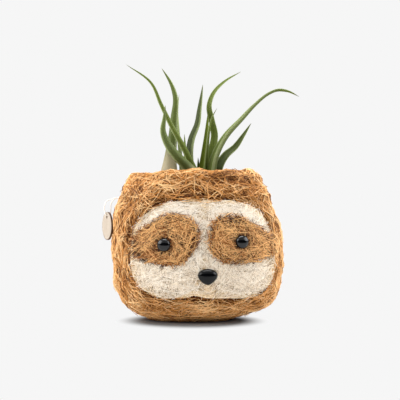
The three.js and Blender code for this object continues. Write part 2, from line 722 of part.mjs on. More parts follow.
/** Root of a leaf on the dome of the bulb. */
function leafRoot(leaf) {
  const turn = THREE.MathUtils.degToRad(leaf.turn);
  const height = BULB_WAIST + (BULB_HEIGHT - BULB_WAIST) * Math.sqrt(1 - leaf.reach * leaf.reach);
  const reach = leaf.reach * BULB_RADIUS;
  return new THREE.Vector3(reach * Math.cos(turn), reach * Math.sin(turn), height);
}

/** Leaf: a channelled blade that narrows to a point along its own curve. */
function buildLeaf(leaf, number) {
  const root = leafRoot(leaf);
  const unit = LEAF_SPAN / 100;
  const broad = leaf.width * unit;
  const way = leaf.way.map((offset) => new THREE.Vector3(...offset).multiplyScalar(unit).add(root));
  const sink = new THREE.Vector3().subVectors(root, way[0]).setLength(broad);
  const path = new THREE.CatmullRomCurve3([root.clone().add(sink), root, ...way], false, "centripetal");
  const length = path.getLength();
  const steps = Math.max(8, Math.round(length / (unit * 6)));
  const inward = new THREE.Vector3(-root.x, -root.y, 0).normalize();
  const rings = [];
  for (let i = 0; i < steps; i += 1) {
    const share = i / steps;
    const centre = path.getPointAt(share);
    const ahead = path.getTangentAt(share);
    const width = broad * (1 - share ** 2.2) ** 0.85 * (1 + leaf.flare * Math.exp(-share * 9));
    const across = new THREE.Vector3().crossVectors(ahead, inward).normalize();
    across.applyAxisAngle(ahead, THREE.MathUtils.degToRad((leaf.roll ?? 0) + leaf.twist * share));
    const up = new THREE.Vector3().crossVectors(across, ahead).normalize();
    const blade = (side, height) => {
      const curl = LEAF_CURL * width * (side * side - 0.5);
      const point = centre.clone().addScaledVector(across, (side * width) / 2);
      return point.addScaledVector(up, curl + height * LEAF_THICKNESS * width);
    };
    const under = [-0.7, 0, 0.7].map((side) => blade(side, -0.5));
    const over = [0.6, 0, -0.6].map((side) => blade(side, 0.25));
    rings.push([blade(-1, 0), ...under, blade(1, 0), ...over]);
  }
  const base = [path.getPointAt(0)];
  const tip = [path.getPointAt(1)];
  const bulb = turned(bulbProfile(SEAT_GAP), 20);
  const name = "leaf_" + String(number + 1).padStart(2, "0");
  return piece(name, cut(loft([base, ...rings, tip]), [bulb]), LEAF_GREEN);
}

function buildPlant() {
  const plant = new THREE.Group();
  plant.position.set(MOUTH_LEAN, 0, CAVITY_FLOOR + SEAT_GAP);
  plant.add(piece("plant_bulb", turned(bulbProfile(0), 20), BULB_GREY));
  plant.add(...LEAVES.map(buildLeaf));
  return plant;
}

const planter = new THREE.Group();
planter.add(buildShell(), buildCollar(), buildMask());
planter.add(...eyePlaces.map(buildPatch), ...eyePlaces.map(buildEye), buildNose(nosePlace));
planter.add(...eyePlaces.map((place) => buildWasher("eye_washer_" + place.side, place)));
planter.add(buildWasher("nose_washer", nosePlace));
planter.add(buildTag(), buildThread(), buildPlant());

export default planter;
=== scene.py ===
"""Dresses the coir planter: fibre coat, face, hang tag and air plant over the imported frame."""

import logging
from dataclasses import dataclass
from enum import Enum
from typing import Callable

import bpy
import numpy as np
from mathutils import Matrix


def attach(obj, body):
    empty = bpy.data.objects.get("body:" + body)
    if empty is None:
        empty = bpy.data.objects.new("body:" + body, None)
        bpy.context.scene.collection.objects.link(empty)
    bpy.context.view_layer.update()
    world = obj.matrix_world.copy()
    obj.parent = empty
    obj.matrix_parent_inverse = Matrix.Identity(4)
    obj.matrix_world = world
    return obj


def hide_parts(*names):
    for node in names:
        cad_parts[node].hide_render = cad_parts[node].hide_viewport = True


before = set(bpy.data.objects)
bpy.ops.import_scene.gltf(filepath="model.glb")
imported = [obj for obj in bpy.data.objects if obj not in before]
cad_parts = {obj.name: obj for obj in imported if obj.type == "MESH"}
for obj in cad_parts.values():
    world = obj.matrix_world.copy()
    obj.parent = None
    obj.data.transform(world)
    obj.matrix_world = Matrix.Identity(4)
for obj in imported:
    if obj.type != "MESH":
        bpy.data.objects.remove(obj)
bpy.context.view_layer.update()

Array = np.ndarray
Lift = Callable[[Array, Array, Array], Array]
Outline = Callable[[Array, Array], tuple[Array, Array]]
Triple = tuple[float, float, float]
Pair = tuple[float, float]
Chance = np.random.Generator
Piece = bpy.types.Object
Material = bpy.types.Material
Socket = bpy.types.NodeSocket
MM = 0.001
SEED = 20
UP = np.array([0.0, 0.0, 1.0])
LOG = logging.getLogger("planter")


class Body(Enum):
    """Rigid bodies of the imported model."""

    PLANTER = "planter"
    TAG = "tag"
    PLANT = "plant"


class Region(Enum):
    """Parts of the coir coat, each grown as one mat."""

    SHELL_FRONT = "shell_fibres_front"
    SHELL_LEFT = "shell_fibres_left"
    SHELL_RIGHT = "shell_fibres_right"
    SHELL_BACK = "shell_fibres_back"
    COLLAR_FRONT = "collar_fibres_front"
    COLLAR_BACK = "collar_fibres_back"

    @property
    def place(self) -> int:
        """Place in the list of regions."""
        return list(Region).index(self)

    @property
    def slot(self) -> str:
        """Material slot of the mat."""
        return "collar_coir" if self in (Region.COLLAR_FRONT, Region.COLLAR_BACK) else "coir"


def unit(vectors: Array) -> Array:
    """Vectors scaled to length one along the last axis."""
    return vectors / np.maximum(np.linalg.norm(vectors, axis=-1, keepdims=True), 1e-9)


def signed_power(values: Array, power: Array | float) -> Array:
    """Sign of each value times its size raised to a power."""
    return np.sign(values) * np.abs(values) ** power


def smooth(values: Array, low: float, high: float) -> Array:
    """Smooth step: 0 below low, 1 above high, 3t^2 - 2t^3 between."""
    t = np.clip((values - low) / (high - low), 0.0, 1.0)
    return t * t * (3.0 - 2.0 * t)


def bell(values: Array, middle: float, width: float) -> Array:
    """Bell curve: e to minus the square of the distance from the middle over the width."""
    return np.exp(-(((values - middle) / width) ** 2))


def turns(count: int) -> Array:
    """Angles of even steps round a full turn."""
    return 2.0 * np.pi * np.arange(count) / count


def circle(angle: Array) -> Array:
    """Points of a level circle of radius one at angles."""
    return np.stack([np.cos(angle), np.sin(angle), np.zeros(len(angle))], -1)


def way_along(points: Array) -> Array:
    """Distance along a run of points at each of them."""
    return np.concatenate([[0.0], np.cumsum(np.linalg.norm(np.diff(points, axis=0), axis=1))])


def walk(heading: Array, length: Array) -> tuple[Array, Array]:
    """Courses of strands: even strides along their headings, summed, with the middle at zero.

    Args:
        heading: angle from level at each step, shape (strands, steps).
        length: strand lengths.

    Returns:
        Distances sideways and upwards from each strand's middle.
    """
    steps = heading.shape[1]
    stride = (length / (steps - 1))[:, None]
    east = np.cumsum(np.cos(heading) * stride, axis=1)
    north = np.cumsum(np.sin(heading) * stride, axis=1)
    return east - east[:, [steps // 2]], north - north[:, [steps // 2]]


@dataclass(frozen=True)
class Ripple:
    """Smooth seeded unevenness: a sum of plane sine waves through space."""

    wavelength: float
    amplitude: float
    seed: int
    waves: int = 9

    def __call__(self, points: Array) -> Array:
        """Height of the ripple at points.

        Args:
            points: positions in millimetres, last axis of three.

        Returns:
            Sum of sines of the dot product of each position with random wave vectors.
        """
        rng = np.random.default_rng(self.seed)
        directions = unit(rng.normal(size=(self.waves, 3)))
        numbers = 2.0 * np.pi / (self.wavelength * rng.uniform(0.7, 1.5, self.waves))
        phases = rng.uniform(0.0, 2.0 * np.pi, self.waves)
        angles = points @ (directions * numbers[:, None]).T + phases
        return self.amplitude * np.sin(angles).sum(axis=-1) / np.sqrt(self.waves / 2.0)


def linked(name: str, data: bpy.types.ID) -> Piece:
    """A new object at the origin, linked into the scene."""
    obj = bpy.data.objects.new(name, data)
    bpy.context.scene.collection.objects.link(obj)
    return obj


def quads(low: Array, high: Array) -> Array:
    """Corners of the quads between index rows: along the low one and back along the high one."""
    return np.stack([low, np.roll(low, -1, -1), np.roll(high, -1, -1), high], -1)


def mesh_object(
    name: str,
    points: Array,
    corners: Array,
    lengths: Array,
    uv: Array,
    attributes: dict[str, Array],
) -> Piece:
    """Puts arrays into a smooth-shaded mesh object.

    Args:
        name: object name.
        points: vertices in millimetres, shape (n, 3).
        corners: vertex index of each face corner.
        lengths: number of corners of each face.
        uv: own map for each face corner, shape (corners, 2).
        attributes: numbers on the vertices, by name.

    Returns:
        The object, linked into the scene at the origin.
    """
    mesh = bpy.data.meshes.new(name)
    mesh.vertices.add(len(points))
    mesh.vertices.foreach_set("co", (points * MM).astype(np.float32).ravel())
    mesh.loops.add(len(corners))
    mesh.loops.foreach_set("vertex_index", corners.astype(np.int32))
    starts = np.concatenate([[0], np.cumsum(lengths)[:-1]])
    mesh.polygons.add(len(starts))
    mesh.polygons.foreach_set("loop_start", starts.astype(np.int32))
    mesh.update(calc_edges=True)
    mesh.validate()
    mesh.polygons.foreach_set("use_smooth", np.ones(len(mesh.polygons), dtype=bool))
    layer = mesh.uv_layers.new(name="OFBake")
    layer.data.foreach_set("uv", uv.astype(np.float32).ravel())
    for key, values in attributes.items():
        data = mesh.attributes.new(key, "FLOAT", "POINT")
        data.data.foreach_set("value", values.astype(np.float32).ravel())
    return linked(name, mesh)


@dataclass
class Grid:
    """A surface as rows of points round a loop, with poles or a closed run of rows.

    The face normal is the way round a row crossed with the way from row to row.
    """

    rows: Array
    start: Array | None = None
    end: Array | None = None
    ring: bool = False

    def build(self, name: str, attributes: dict[str, Array] | None = None) -> Piece:
        """Skins the rows with quads, and each pole with a fan of triangles.

        Args:
            name: object name.
            attributes: numbers for each row point, shape (rows, columns).

        Returns:
            The mesh object.
        """
        count, around = self.rows.shape[:2]
        index = np.arange(count * around).reshape(count, around)
        low = index if self.ring else index[:-1]
        high = np.roll(index, -1, axis=0) if self.ring else index[1:]
        i, j = np.meshgrid(np.arange(low.shape[0]), np.arange(around), indexing="ij")
        u = np.stack([j, j + 1, j + 1, j], -1) / around
        v = (np.stack([i, i, i + 1, i + 1], -1) + 1.0) / (low.shape[0] + 2.0)
        points = [self.rows.reshape(-1, 3)]
        corners, uvs = [quads(low, high).ravel()], [np.stack([u, v], -1).reshape(-1, 2)]
        sizes = [np.full(low.size, 4)]
        extras = {key: [values.reshape(-1)] for key, values in (attributes or {}).items()}
        total = count * around
        turn = np.arange(around)
        poles = ((self.start, 0, 1.0, 0.0), (self.end, count - 1, -1.0, 1.0))
        for pole, row, edge, tip in poles:
            if pole is None:
                continue
            ring = index[row]
            nearby, following = (ring, np.roll(ring, -1)) if tip else (np.roll(ring, -1), ring)
            corners.append(np.stack([np.full(around, total), nearby, following], -1).ravel())
            level = edge / (low.shape[0] + 2.0) + tip
            sides = (turn, turn + 1) if tip else (turn + 1, turn)
            fan_u = np.stack([turn + 0.5, *sides], -1) / around
            fan_v = np.broadcast_to(np.array([tip, level, level]), fan_u.shape)
            uvs.append(np.stack([fan_u, fan_v], -1).reshape(-1, 2))
            sizes.append(np.full(around, 3))
            points.append(pole.reshape(1, 3))
            for key, values in (attributes or {}).items():
                extras[key].append(values[row].mean(keepdims=True))
            total += 1
        merged = {key: np.concatenate(parts) for key, parts in extras.items()}
        parts = (np.concatenate(part) for part in (points, corners, sizes, uvs))
        return mesh_object(name, *parts, merged)


@dataclass
class Fibres:
    """Many thin strands: centre lines, the surface's direction beside them, radius and tone.

    No strand goes below its clearance over the floor, and each keeps a margin in its map's cell.
    """

    paths: Array
    normals: Array
    radius: Array
    tone: Array
    sides: int = 3
    clearance: float = 0.02
    margin: float = 0.1

    def build(self, name: str) -> Piece:
        """Carries a three-sided section along every centre line, with closed ends.

        The girth is a sine arch over the length, raised to a power and thin at both ends. Each
        strand has its own cell of the map: its length runs up the cell, its girth across.

        Args:
            name: object name.

        Returns:
            The mesh object, with the strand's tone and the place along it on its vertices.
        """
        count, steps = self.paths.shape[:2]
        ahead = unit(np.gradient(self.paths, axis=1))
        side = unit(np.cross(ahead, self.normals))
        up = np.cross(side, ahead)
        turn = turns(self.sides)
        along = np.linspace(0.0, 1.0, steps)
        girth = self.radius[:, None] * (0.3 + 0.7 * np.sin(np.pi * (0.12 + 0.8 * along)) ** 0.6)
        spoke = up[:, :, None] * np.cos(turn)[:, None] + side[:, :, None] * np.sin(turn)[:, None]
        points = self.paths[:, :, None] + girth[:, :, None, None] * spoke
        points[..., 2] = np.maximum(points[..., 2], self.clearance)
        index = np.arange(count * steps * self.sides).reshape(count, steps, self.sides)
        caps = np.concatenate([index[:, 0, ::-1], index[:, -1]], axis=1)
        k = np.arange(self.sides)
        t = np.arange(steps - 1)[:, None]
        across = np.stack([k, k + 1, k + 1, k], -1) / self.sides
        across = np.broadcast_to(across, (steps - 1, self.sides, 4))
        rise = np.stack(np.broadcast_arrays(t, t, t + 1, t + 1), -1) / (steps - 1)
        rise = np.broadcast_to(rise, across.shape)
        cell = self.margin + (1.0 - 2.0 * self.margin) * np.stack([across, rise], -1).reshape(-1, 2)
        foot_cap = np.array([[0.2, 0.02], [0.5, 0.07], [0.8, 0.02]])
        tip_cap = foot_cap * [1.0, -1.0] + [0.0, 1.0]
        columns = int(np.ceil(np.sqrt(count)))
        place = np.stack([np.arange(count) % columns, np.arange(count) // columns], -1)[:, None]
        cells = (cell, np.concatenate([foot_cap, tip_cap]))
        uv = np.concatenate([(place + part).reshape(-1, 2) for part in cells]) / columns
        faces = (steps - 1) * self.sides
        lengths = np.concatenate([np.full(count * faces, 4), np.full(count * 2, 3)])
        corners = np.concatenate([quads(index[:, :-1], index[:, 1:]).ravel(), caps.ravel()])
        spread = (count, steps, self.sides)
        attributes = {
            "tone": np.broadcast_to(self.tone[:, None, None], spread),
            "along": np.broadcast_to(along[None, :, None], spread),
        }
        return mesh_object(name, points.reshape(-1, 3), corners, lengths, uv, attributes)

    def keep(self, chosen: Array) -> "Fibres":
        """The strands that a true-or-false array picks."""
        parts = (self.paths, self.normals, self.radius, self.tone)
        return Fibres(*(part[chosen] for part in parts))


class Value:
    """A shader socket with arithmetic: each operator adds one Math node."""

    def __init__(self, recipe: "Recipe", socket: Socket) -> None:
        """Wraps a node's output socket of a recipe."""
        self.recipe = recipe
        self.socket = socket

    def _math(self, operation: str, first: "Value | float", second: "Value | float") -> "Value":
        """One Math node over two values."""
        return self.recipe.node("ShaderNodeMath", {"operation": operation}, {0: first, 1: second})

    def __add__(self, other: "Value | float") -> "Value":
        """Sum."""
        return self._math("ADD", self, other)

    def __sub__(self, other: "Value | float") -> "Value":
        """Difference."""
        return self._math("SUBTRACT", self, other)

    def __rsub__(self, other: float) -> "Value":
        """Difference from a number."""
        return self._math("SUBTRACT", other, self)

    def __mul__(self, other: "Value | float") -> "Value":
        """Product."""
        return self._math("MULTIPLY", self, other)

    def __pow__(self, other: "Value | float") -> "Value":
        """Power."""
        return self._math("POWER", self, other)

    def __or__(self, other: "Value | float") -> "Value":
        """The larger of two."""
        return self._math("MAXIMUM", self, other)

    def __and__(self, other: "Value | float") -> "Value":
        """The smaller of two."""
        return self._math("MINIMUM", self, other)

    __radd__ = __add__
    __rmul__ = __mul__

    def clamp(self) -> "Value":
        """Held between 0 and 1."""
        return (self | 0.0) & 1.0

    def ramp(self, *stops: tuple[float, str]) -> "Value":
        """Colour ramp over this value.

        Args:
            stops: place from 0 to 1 and colour as rrggbb, in order.

        Returns:
            The ramp's colour.
        """
        value = self.recipe.node("ShaderNodeValToRGB", {}, {"Fac": self}, "Color")
        band = value.socket.node.color_ramp
        while len(band.elements) < len(stops):
            band.elements.new(0.5)
        for element, (place, shade) in zip(band.elements, stops):
            element.position = place
            element.color = rgba(shade)
        return value

    def mix(self, first: "Value | str", second: "Value | str") -> "Value":
        """Mixes two colours by this value, from first at 0 to second at 1."""
        settings = {"data_type": "RGBA"}
        return self.recipe.node("ShaderNodeMix", settings, {0: self, 6: first, 7: second}, 2)


def rgba(shade: str) -> tuple[float, float, float, float]:
    """Linear colour of a display shade given as rrggbb."""
    parts = np.array([int(shade[i : i + 2], 16) for i in (0, 2, 4)]) / 255.0
    linear = np.where(parts <= 0.04045, parts / 12.92, ((parts + 0.055) / 1.055) ** 2.4)
    return (float(linear[0]), float(linear[1]), float(linear[2]), 1.0)


class Recipe:
    """Node tree of a material or of the surroundings: one method makes any node."""

    def __init__(self, name: str, world: bool = False) -> None:
        """Starts a material with a principled shader, or surroundings with a background."""
        self.owner = (bpy.data.worlds if world else bpy.data.materials).new(name)
        self.owner.use_nodes = True
        self.tree = self.owner.node_tree
        self.shader = self.tree.nodes["Background" if world else "Principled BSDF"]

    def node(self, kind: str, settings: dict, inputs: dict, output: int | str = 0) -> Value:
        """Adds a node.

        Args:
            kind: node type.
            settings: properties to set on the node.
            inputs: values for its sockets, by name or place.
            output: which output to return.

        Returns:
            The chosen output as a value.
        """
        made = self.tree.nodes.new(kind)
        for key, setting in settings.items():
            setattr(made, key, setting)
        for key, given in inputs.items():
            self.feed(made.inputs[key], given)
        return Value(self, made.outputs[output])

    def feed(self, socket: Socket, given: Value | float | str | tuple) -> None:
        """Links a value to a socket, or sets a number, a shade or a vector on it."""
        if isinstance(given, Value):
            self.tree.links.new(given.socket, socket)
        elif isinstance(given, str):
            socket.default_value = rgba(given)
        else:
            socket.default_value = given

    def place(self, scale: Triple = (1.0, 1.0, 1.0), turn: Triple = (0.0, 0.0, 0.0)) -> Value:
        """Object coordinates, scaled and turned."""
        where = self.node("ShaderNodeTexCoord", {}, {}, "Object")
        inputs = {"Vector": where, "Scale": scale, "Rotation": turn}
        return self.node("ShaderNodeMapping", {}, inputs)

    def noise(
        self, scale: float, detail: float = 3.0, rough: float = 0.55, where: Value | None = None
    ) -> Value:
        """Noise between about 0 and 1; scale counts its features in a metre."""
        inputs = {"Vector": where or self.place(), "Scale": scale}
        return self.node("ShaderNodeTexNoise", {}, inputs | {"Detail": detail, "Roughness": rough})

    def ray(self, kind: str) -> Value:
        """1 where the light path is a ray of a kind, such as Is Camera Ray."""
        return self.node("ShaderNodeLightPath", {}, {}, kind)

    def number(self, name: str) -> Value:
        """A number kept on the piece's vertices."""
        return self.node("ShaderNodeAttribute", {"attribute_name": name}, {}, "Fac")

    def bump(self, height: Value, distance: float, strength: float = 1.0) -> Value:
        """Bumped normal from a height."""
        inputs = {"Height": height, "Distance": distance, "Strength": strength}
        return self.node("ShaderNodeBump", {}, inputs)

    def finish(self, **sockets: Value | float | str) -> Material | bpy.types.World:
        """Sets the shader's sockets, underscores for spaces, and hands over the tree's owner."""
        for key, given in sockets.items():
            self.feed(self.shader.inputs[key.replace("_", " ")], given)
        return self.owner


@dataclass(frozen=True)
class FibreFinish:
    """Strands of one plant fibre, from its darkest to its palest."""

    name: str
    dark: str
    middle: str
    light: str
    ends: float = 0.75
    roughness: float = 0.62

    def material(self) -> Material:
        """Tone picks the strand's shade, with painted shade and light from where it lies;
        blotches and its ends vary it.
        """
        recipe = Recipe(self.name)
        blotch = recipe.noise(900.0, 2.0)
        tone = recipe.number("tone") + (blotch - 0.5) * 0.35
        ends = recipe.number("along")
        middle = (ends * (1.0 - ends) * 4.0) ** 0.5
        lit = (tone * (middle * (1.0 - self.ends) + self.ends)).clamp()
        shade = lit.ramp((0.0, self.dark), (0.5, self.middle), (1.0, self.light))
        rough = self.roughness + (blotch - 0.5) * 0.2
        return recipe.finish(Base_Color=shade, Roughness=rough, Specular_IOR_Level=0.35)


@dataclass(frozen=True)
class MatFinish:
    """Packed fibre seen between the strands: streaks in three directions over gaps of painted
    shade.
    """

    name: str
    gap: str
    fibre: str
    depth: float = 0.0006

    def material(self) -> Material:
        """The largest of three stretched noises gives crossing streaks."""
        recipe = Recipe(self.name)
        streaks = [
            recipe.noise(60.0, 4.0, 0.6, recipe.place(scale, turn))
            for scale, turn in (
                ((2.0, 2.0, 22.0), (0.5, 0.3, 0.0)),
                ((22.0, 22.0, 2.5), (0.2, -0.4, 0.3)),
                ((14.0, 3.0, 14.0), (0.9, 0.5, 0.9)),
            )
        ]
        top = streaks[0] | streaks[1] | streaks[2]
        cover = ((top - 0.5) * 5.0).clamp()
        patchy = recipe.noise(45.0, 3.0)
        # The gap colour is painted shade between the packed fibres.
        shade = (cover * (0.45 + patchy)).clamp().mix(self.gap, self.fibre)
        sockets = {"Roughness": 0.9, "Specular_IOR_Level": 0.2}
        return recipe.finish(Base_Color=shade, Normal=recipe.bump(top, self.depth), **sockets)


@dataclass(frozen=True)
class GlossFinish:
    """Polished dark plastic with the faintest orange peel."""

    name: str
    shade: str
    specular: float
    dusty: str = "08090b"

    def material(self) -> Material:
        """A near-black body with fine dust in its colour and roughness."""
        recipe = Recipe(self.name)
        dust = recipe.noise(2500.0, 4.0, 0.7)
        rough = 0.07 + (dust - 0.45).clamp() * 0.15
        normal = recipe.bump(recipe.noise(350.0, 1.0), 0.00002, 0.3)
        body = dust.mix(self.shade, self.dusty)
        gloss = {"Roughness": rough, "Specular_IOR_Level": self.specular}
        return recipe.finish(Base_Color=body, Normal=normal, **gloss)


@dataclass(frozen=True)
class PlasticFinish:
    """Plain moulded plastic of the lock washers."""

    name: str
    shade: str
    worn: str

    def material(self) -> Material:
        """A soft mould grain in colour and bump."""
        recipe = Recipe(self.name)
        grain = recipe.noise(700.0, 3.0)
        body = grain.mix(self.shade, self.worn)
        normal = recipe.bump(grain, 0.00005)
        return recipe.finish(Base_Color=body, Roughness=0.45 + grain * 0.1, Normal=normal)


@dataclass(frozen=True)
class WoodFinish:
    """Thin pale board whose cut edge is scorched."""

    name: str
    pale: str
    grain: str
    scorch: str

    def material(self) -> Material:
        """Stretched noise for the grain, darkened by the edge number on the vertices."""
        recipe = Recipe(self.name)
        lines = recipe.noise(55.0, 5.0, 0.6, recipe.place((9.0, 9.0, 0.8)))
        pores = recipe.noise(900.0, 3.0, 0.6, recipe.place((1.0, 1.0, 0.12)))
        board = ((lines - 0.35) * 1.6).clamp().mix(self.pale, self.grain)
        board = ((pores - 0.58) * 3.0).clamp().mix(board, self.grain)
        edge = (recipe.number("edge") + (lines - 0.5) * 0.25).clamp()
        shade = edge.mix(board, self.scorch)
        normal = recipe.bump(lines + pores * 0.5, 0.00008)
        return recipe.finish(Base_Color=shade, Roughness=0.62 + lines * 0.15, Normal=normal)


@dataclass(frozen=True)
class ThreadFinish:
    """Twisted cotton thread."""

    name: str
    pale: str
    shaded: str

    def material(self) -> Material:
        """The ply number on the vertices paints shade into the grooves between the strands."""
        recipe = Recipe(self.name)
        fuzz = recipe.noise(4000.0, 3.0)
        shade = (recipe.number("ply") * 0.8 + fuzz * 0.3).clamp().mix(self.shaded, self.pale)
        return recipe.finish(Base_Color=shade, Roughness=0.9, Normal=recipe.bump(fuzz, 0.00005))


@dataclass(frozen=True)
class LeafFinish:
    """Air-plant leaf: grey-green to fresh green, dark in painted shade, scaly with edges paled
    partly as painted rim light, papery at the root.
    """

    name: str
    blade: str
    fresh: str
    shaded: str
    scales: str
    sheath: str
    tip: str

    def material(self) -> Material:
        """Numbers on the vertices say how fresh, shaded, papery, edge-near and far along it is."""
        recipe = Recipe(self.name)
        along, rim, fresh, dark, sheath = (
            recipe.number(key) for key in ("along", "rim", "fresh", "dark", "sheath")
        )
        fine = recipe.noise(2200.0, 3.0, 0.65)
        broad = recipe.noise(140.0, 3.0)
        green = (fresh + (broad - 0.5) * 0.6).clamp().mix(self.blade, self.fresh)
        side = (dark + (broad - 0.5) * 0.5).clamp().mix(green, self.shaded)
        # Scales in fine flecks, and paler towards the edges: partly the scales, partly painted rim
        # light.
        scales_and_rim_light = ((fine - 0.5) * 1.2 + (rim - 0.42) * 1.5).clamp().mix(side, self.scales)
        rooted = (sheath + (fine - 0.5) * 0.5 * sheath).clamp().mix(scales_and_rim_light, self.sheath)
        shade = ((along - 0.92) * 9.0).clamp().mix(rooted, self.tip)
        normal = recipe.bump(fine * 0.6 + broad * 0.4, 0.00012)
        wax = {"Roughness": 0.45 + fine * 0.25, "Specular_IOR_Level": 0.24}
        return recipe.finish(Base_Color=shade, Normal=normal, **wax)


@dataclass(frozen=True)
class Palette:
    """Every finish of the object."""

    coir_strands = FibreFinish("coir_strands", "64350e", "d7954b", "f7cf96")
    # The first colour of each packed finish is painted shade in the gaps between fibres.
    coir_packed = MatFinish("coir_packed", "2a1305", "824c1d")
    cream_strands = FibreFinish("cream_strands", "8a6d44", "f7e7d0", "fff7ea")
    cream_packed = MatFinish("cream_packed", "bb9f74", "f5e4ca", 0.0003)
    patch_strands = FibreFinish("patch_strands", "2e1504", "9c591e", "efbd7c", 1.3)
    patch_packed = MatFinish("patch_packed", "180b03", "57320f", 0.0004)
    eye_gloss = GlossFinish("eye_gloss", "030304", 0.3)
    nose_gloss = GlossFinish("nose_gloss", "030304", 0.15)
    washers = PlasticFinish("washer_plastic", "e4e4de", "cfcfc8")
    wood = WoodFinish("tag_wood", "b1a495", "9d8c77", "45290f")
    thread = ThreadFinish("thread_cotton", "fffdf8", "e2dacb")
    leaf = LeafFinish("leaf_green", "4b562b", "647319", "1a2304", "98a372", "a3977a", "514d26")
    bulb = LeafFinish("bulb_sheaths", "8b8c66", "96945f", "6e6a4c", "b3ad96", "a89d84", "8b8c66")


@dataclass(frozen=True)
class PotForm:
    """Outline of the pot in millimetres: rounded-square plan, full belly, leaning mouth."""

    base_half: float = 22.0
    base_power: float = 2.6
    belly_half: float = 65.0
    belly_z: float = 53.0
    shoulder_half: float = 51.0
    rim_z: float = 113.5
    roll: float = 7.0
    depth_ratio: float = 0.92
    plan_power: float = 2.4
    mouth_lean: float = -3.5
    foot_lean: float = -6.0
    foot_rise: float = 18.0
    rim_sag: float = 2.4
    mouth_radius: float = 40.0
    seat_z: float = 92.5
    cavity_floor: float = 42.0
    cavity_fillet: float = 10.0
    brow_proud: float = 1.0
    lump_height: float = 0.8
    lump_spacing: float = 17.0
    lump_waves: int = 7
    foot_tuck: float = 2.2
    shoulder_press: float = 3.6
    left_press: float = 0.9
    right_press: float = 1.6
    rim_drop: float = 0.9
    right_sag: float = 2.6

    def half_width(self, z: Array) -> Array:
        """Half-width at heights: a superellipse up to the belly, a parabola above."""
        fall = np.clip(1.0 - z / self.belly_z, 0.0, 1.0) ** self.base_power
        swell = (1.0 - fall) ** (1.0 / self.base_power)
        lower = self.base_half + (self.belly_half - self.base_half) * swell
        rise = (z - self.belly_z) / (self.rim_z - self.belly_z - self.roll)
        upper = self.belly_half - (self.belly_half - self.shoulder_half) * rise**2
        return np.where(z < self.belly_z, lower, upper)

    def lean(self, z: Array) -> Array:
        """Sideways shift of the middle: a parabola at the foot, a smooth step up to the seat."""
        foot = self.foot_lean * np.clip(1.0 - z / self.foot_rise, 0.0, 1.0) ** 2
        return foot + self.mouth_lean * smooth(z, self.belly_z, self.seat_z)

    def lump(self, points: Array) -> Array:
        """Rise of the hand-laid coir.

        Sines of crossing waves are summed: their directions turn by the golden angle from one to
        the next and their spacings widen, and they die out at the foot and at the seam.

        Args:
            points: positions in millimetres.

        Returns:
            Heights off the plain outline.
        """
        i = np.arange(self.lump_waves)
        rise = (2.0 * i + 1.0) / self.lump_waves - 1.0
        level = np.sqrt(1.0 - rise**2)
        turn = i * np.pi * (3.0 - np.sqrt(5.0))
        ways = np.stack([level * np.sin(turn), level * np.cos(turn), rise])
        spacing = self.lump_spacing * (0.85 + 0.2 * i)
        total = np.sin(2.0 * np.pi * (points @ ways) / spacing + i**2).sum(axis=-1)
        foot = smooth(points[..., 2], self.lump_spacing / 8.0, self.lump_spacing)
        seam = smooth(np.abs(points[..., 2] - self.seat_z), 0.0, self.lump_spacing / 2.0)
        return self.lump_height * np.sqrt(2.0 / self.lump_waves) * total * foot * seam

    def outside(self, points: Array) -> Array:
        """Superellipse sum minus one: negative inside the outline, zero on it."""
        x, y, z = points[..., 0], points[..., 1], points[..., 2]
        half = self.half_width(z)
        across = np.abs((x - self.lean(z)) / half) ** self.plan_power
        return across + np.abs(y / (half * self.depth_ratio)) ** self.plan_power - 1.0

    def outward(self, points: Array) -> Array:
        """Direction out of the surface: the slope of the superellipse sum."""
        steps = 0.05 * np.eye(3)
        slopes = [self.outside(points + step) - self.outside(points - step) for step in steps]
        return unit(np.stack(slopes, axis=-1))

    def face(self, x: Array, z: Array, lift: Array | float) -> tuple[Array, Array]:
        """Points over the front of the pot.

        Args:
            x: sideways places.
            z: heights.
            lift: distance off the surface along its own direction.

        Returns:
            Points and the surface's directions there.
        """
        half = self.half_width(z)
        across = np.minimum(np.abs((x - self.lean(z)) / half), 0.999) ** self.plan_power
        y = -half * self.depth_ratio * (1.0 - across) ** (1.0 / self.plan_power)
        points = np.stack(np.broadcast_arrays(x, y, z), axis=-1)
        normals = self.outward(points)
        return points + normals * np.asarray(lift)[..., None], normals


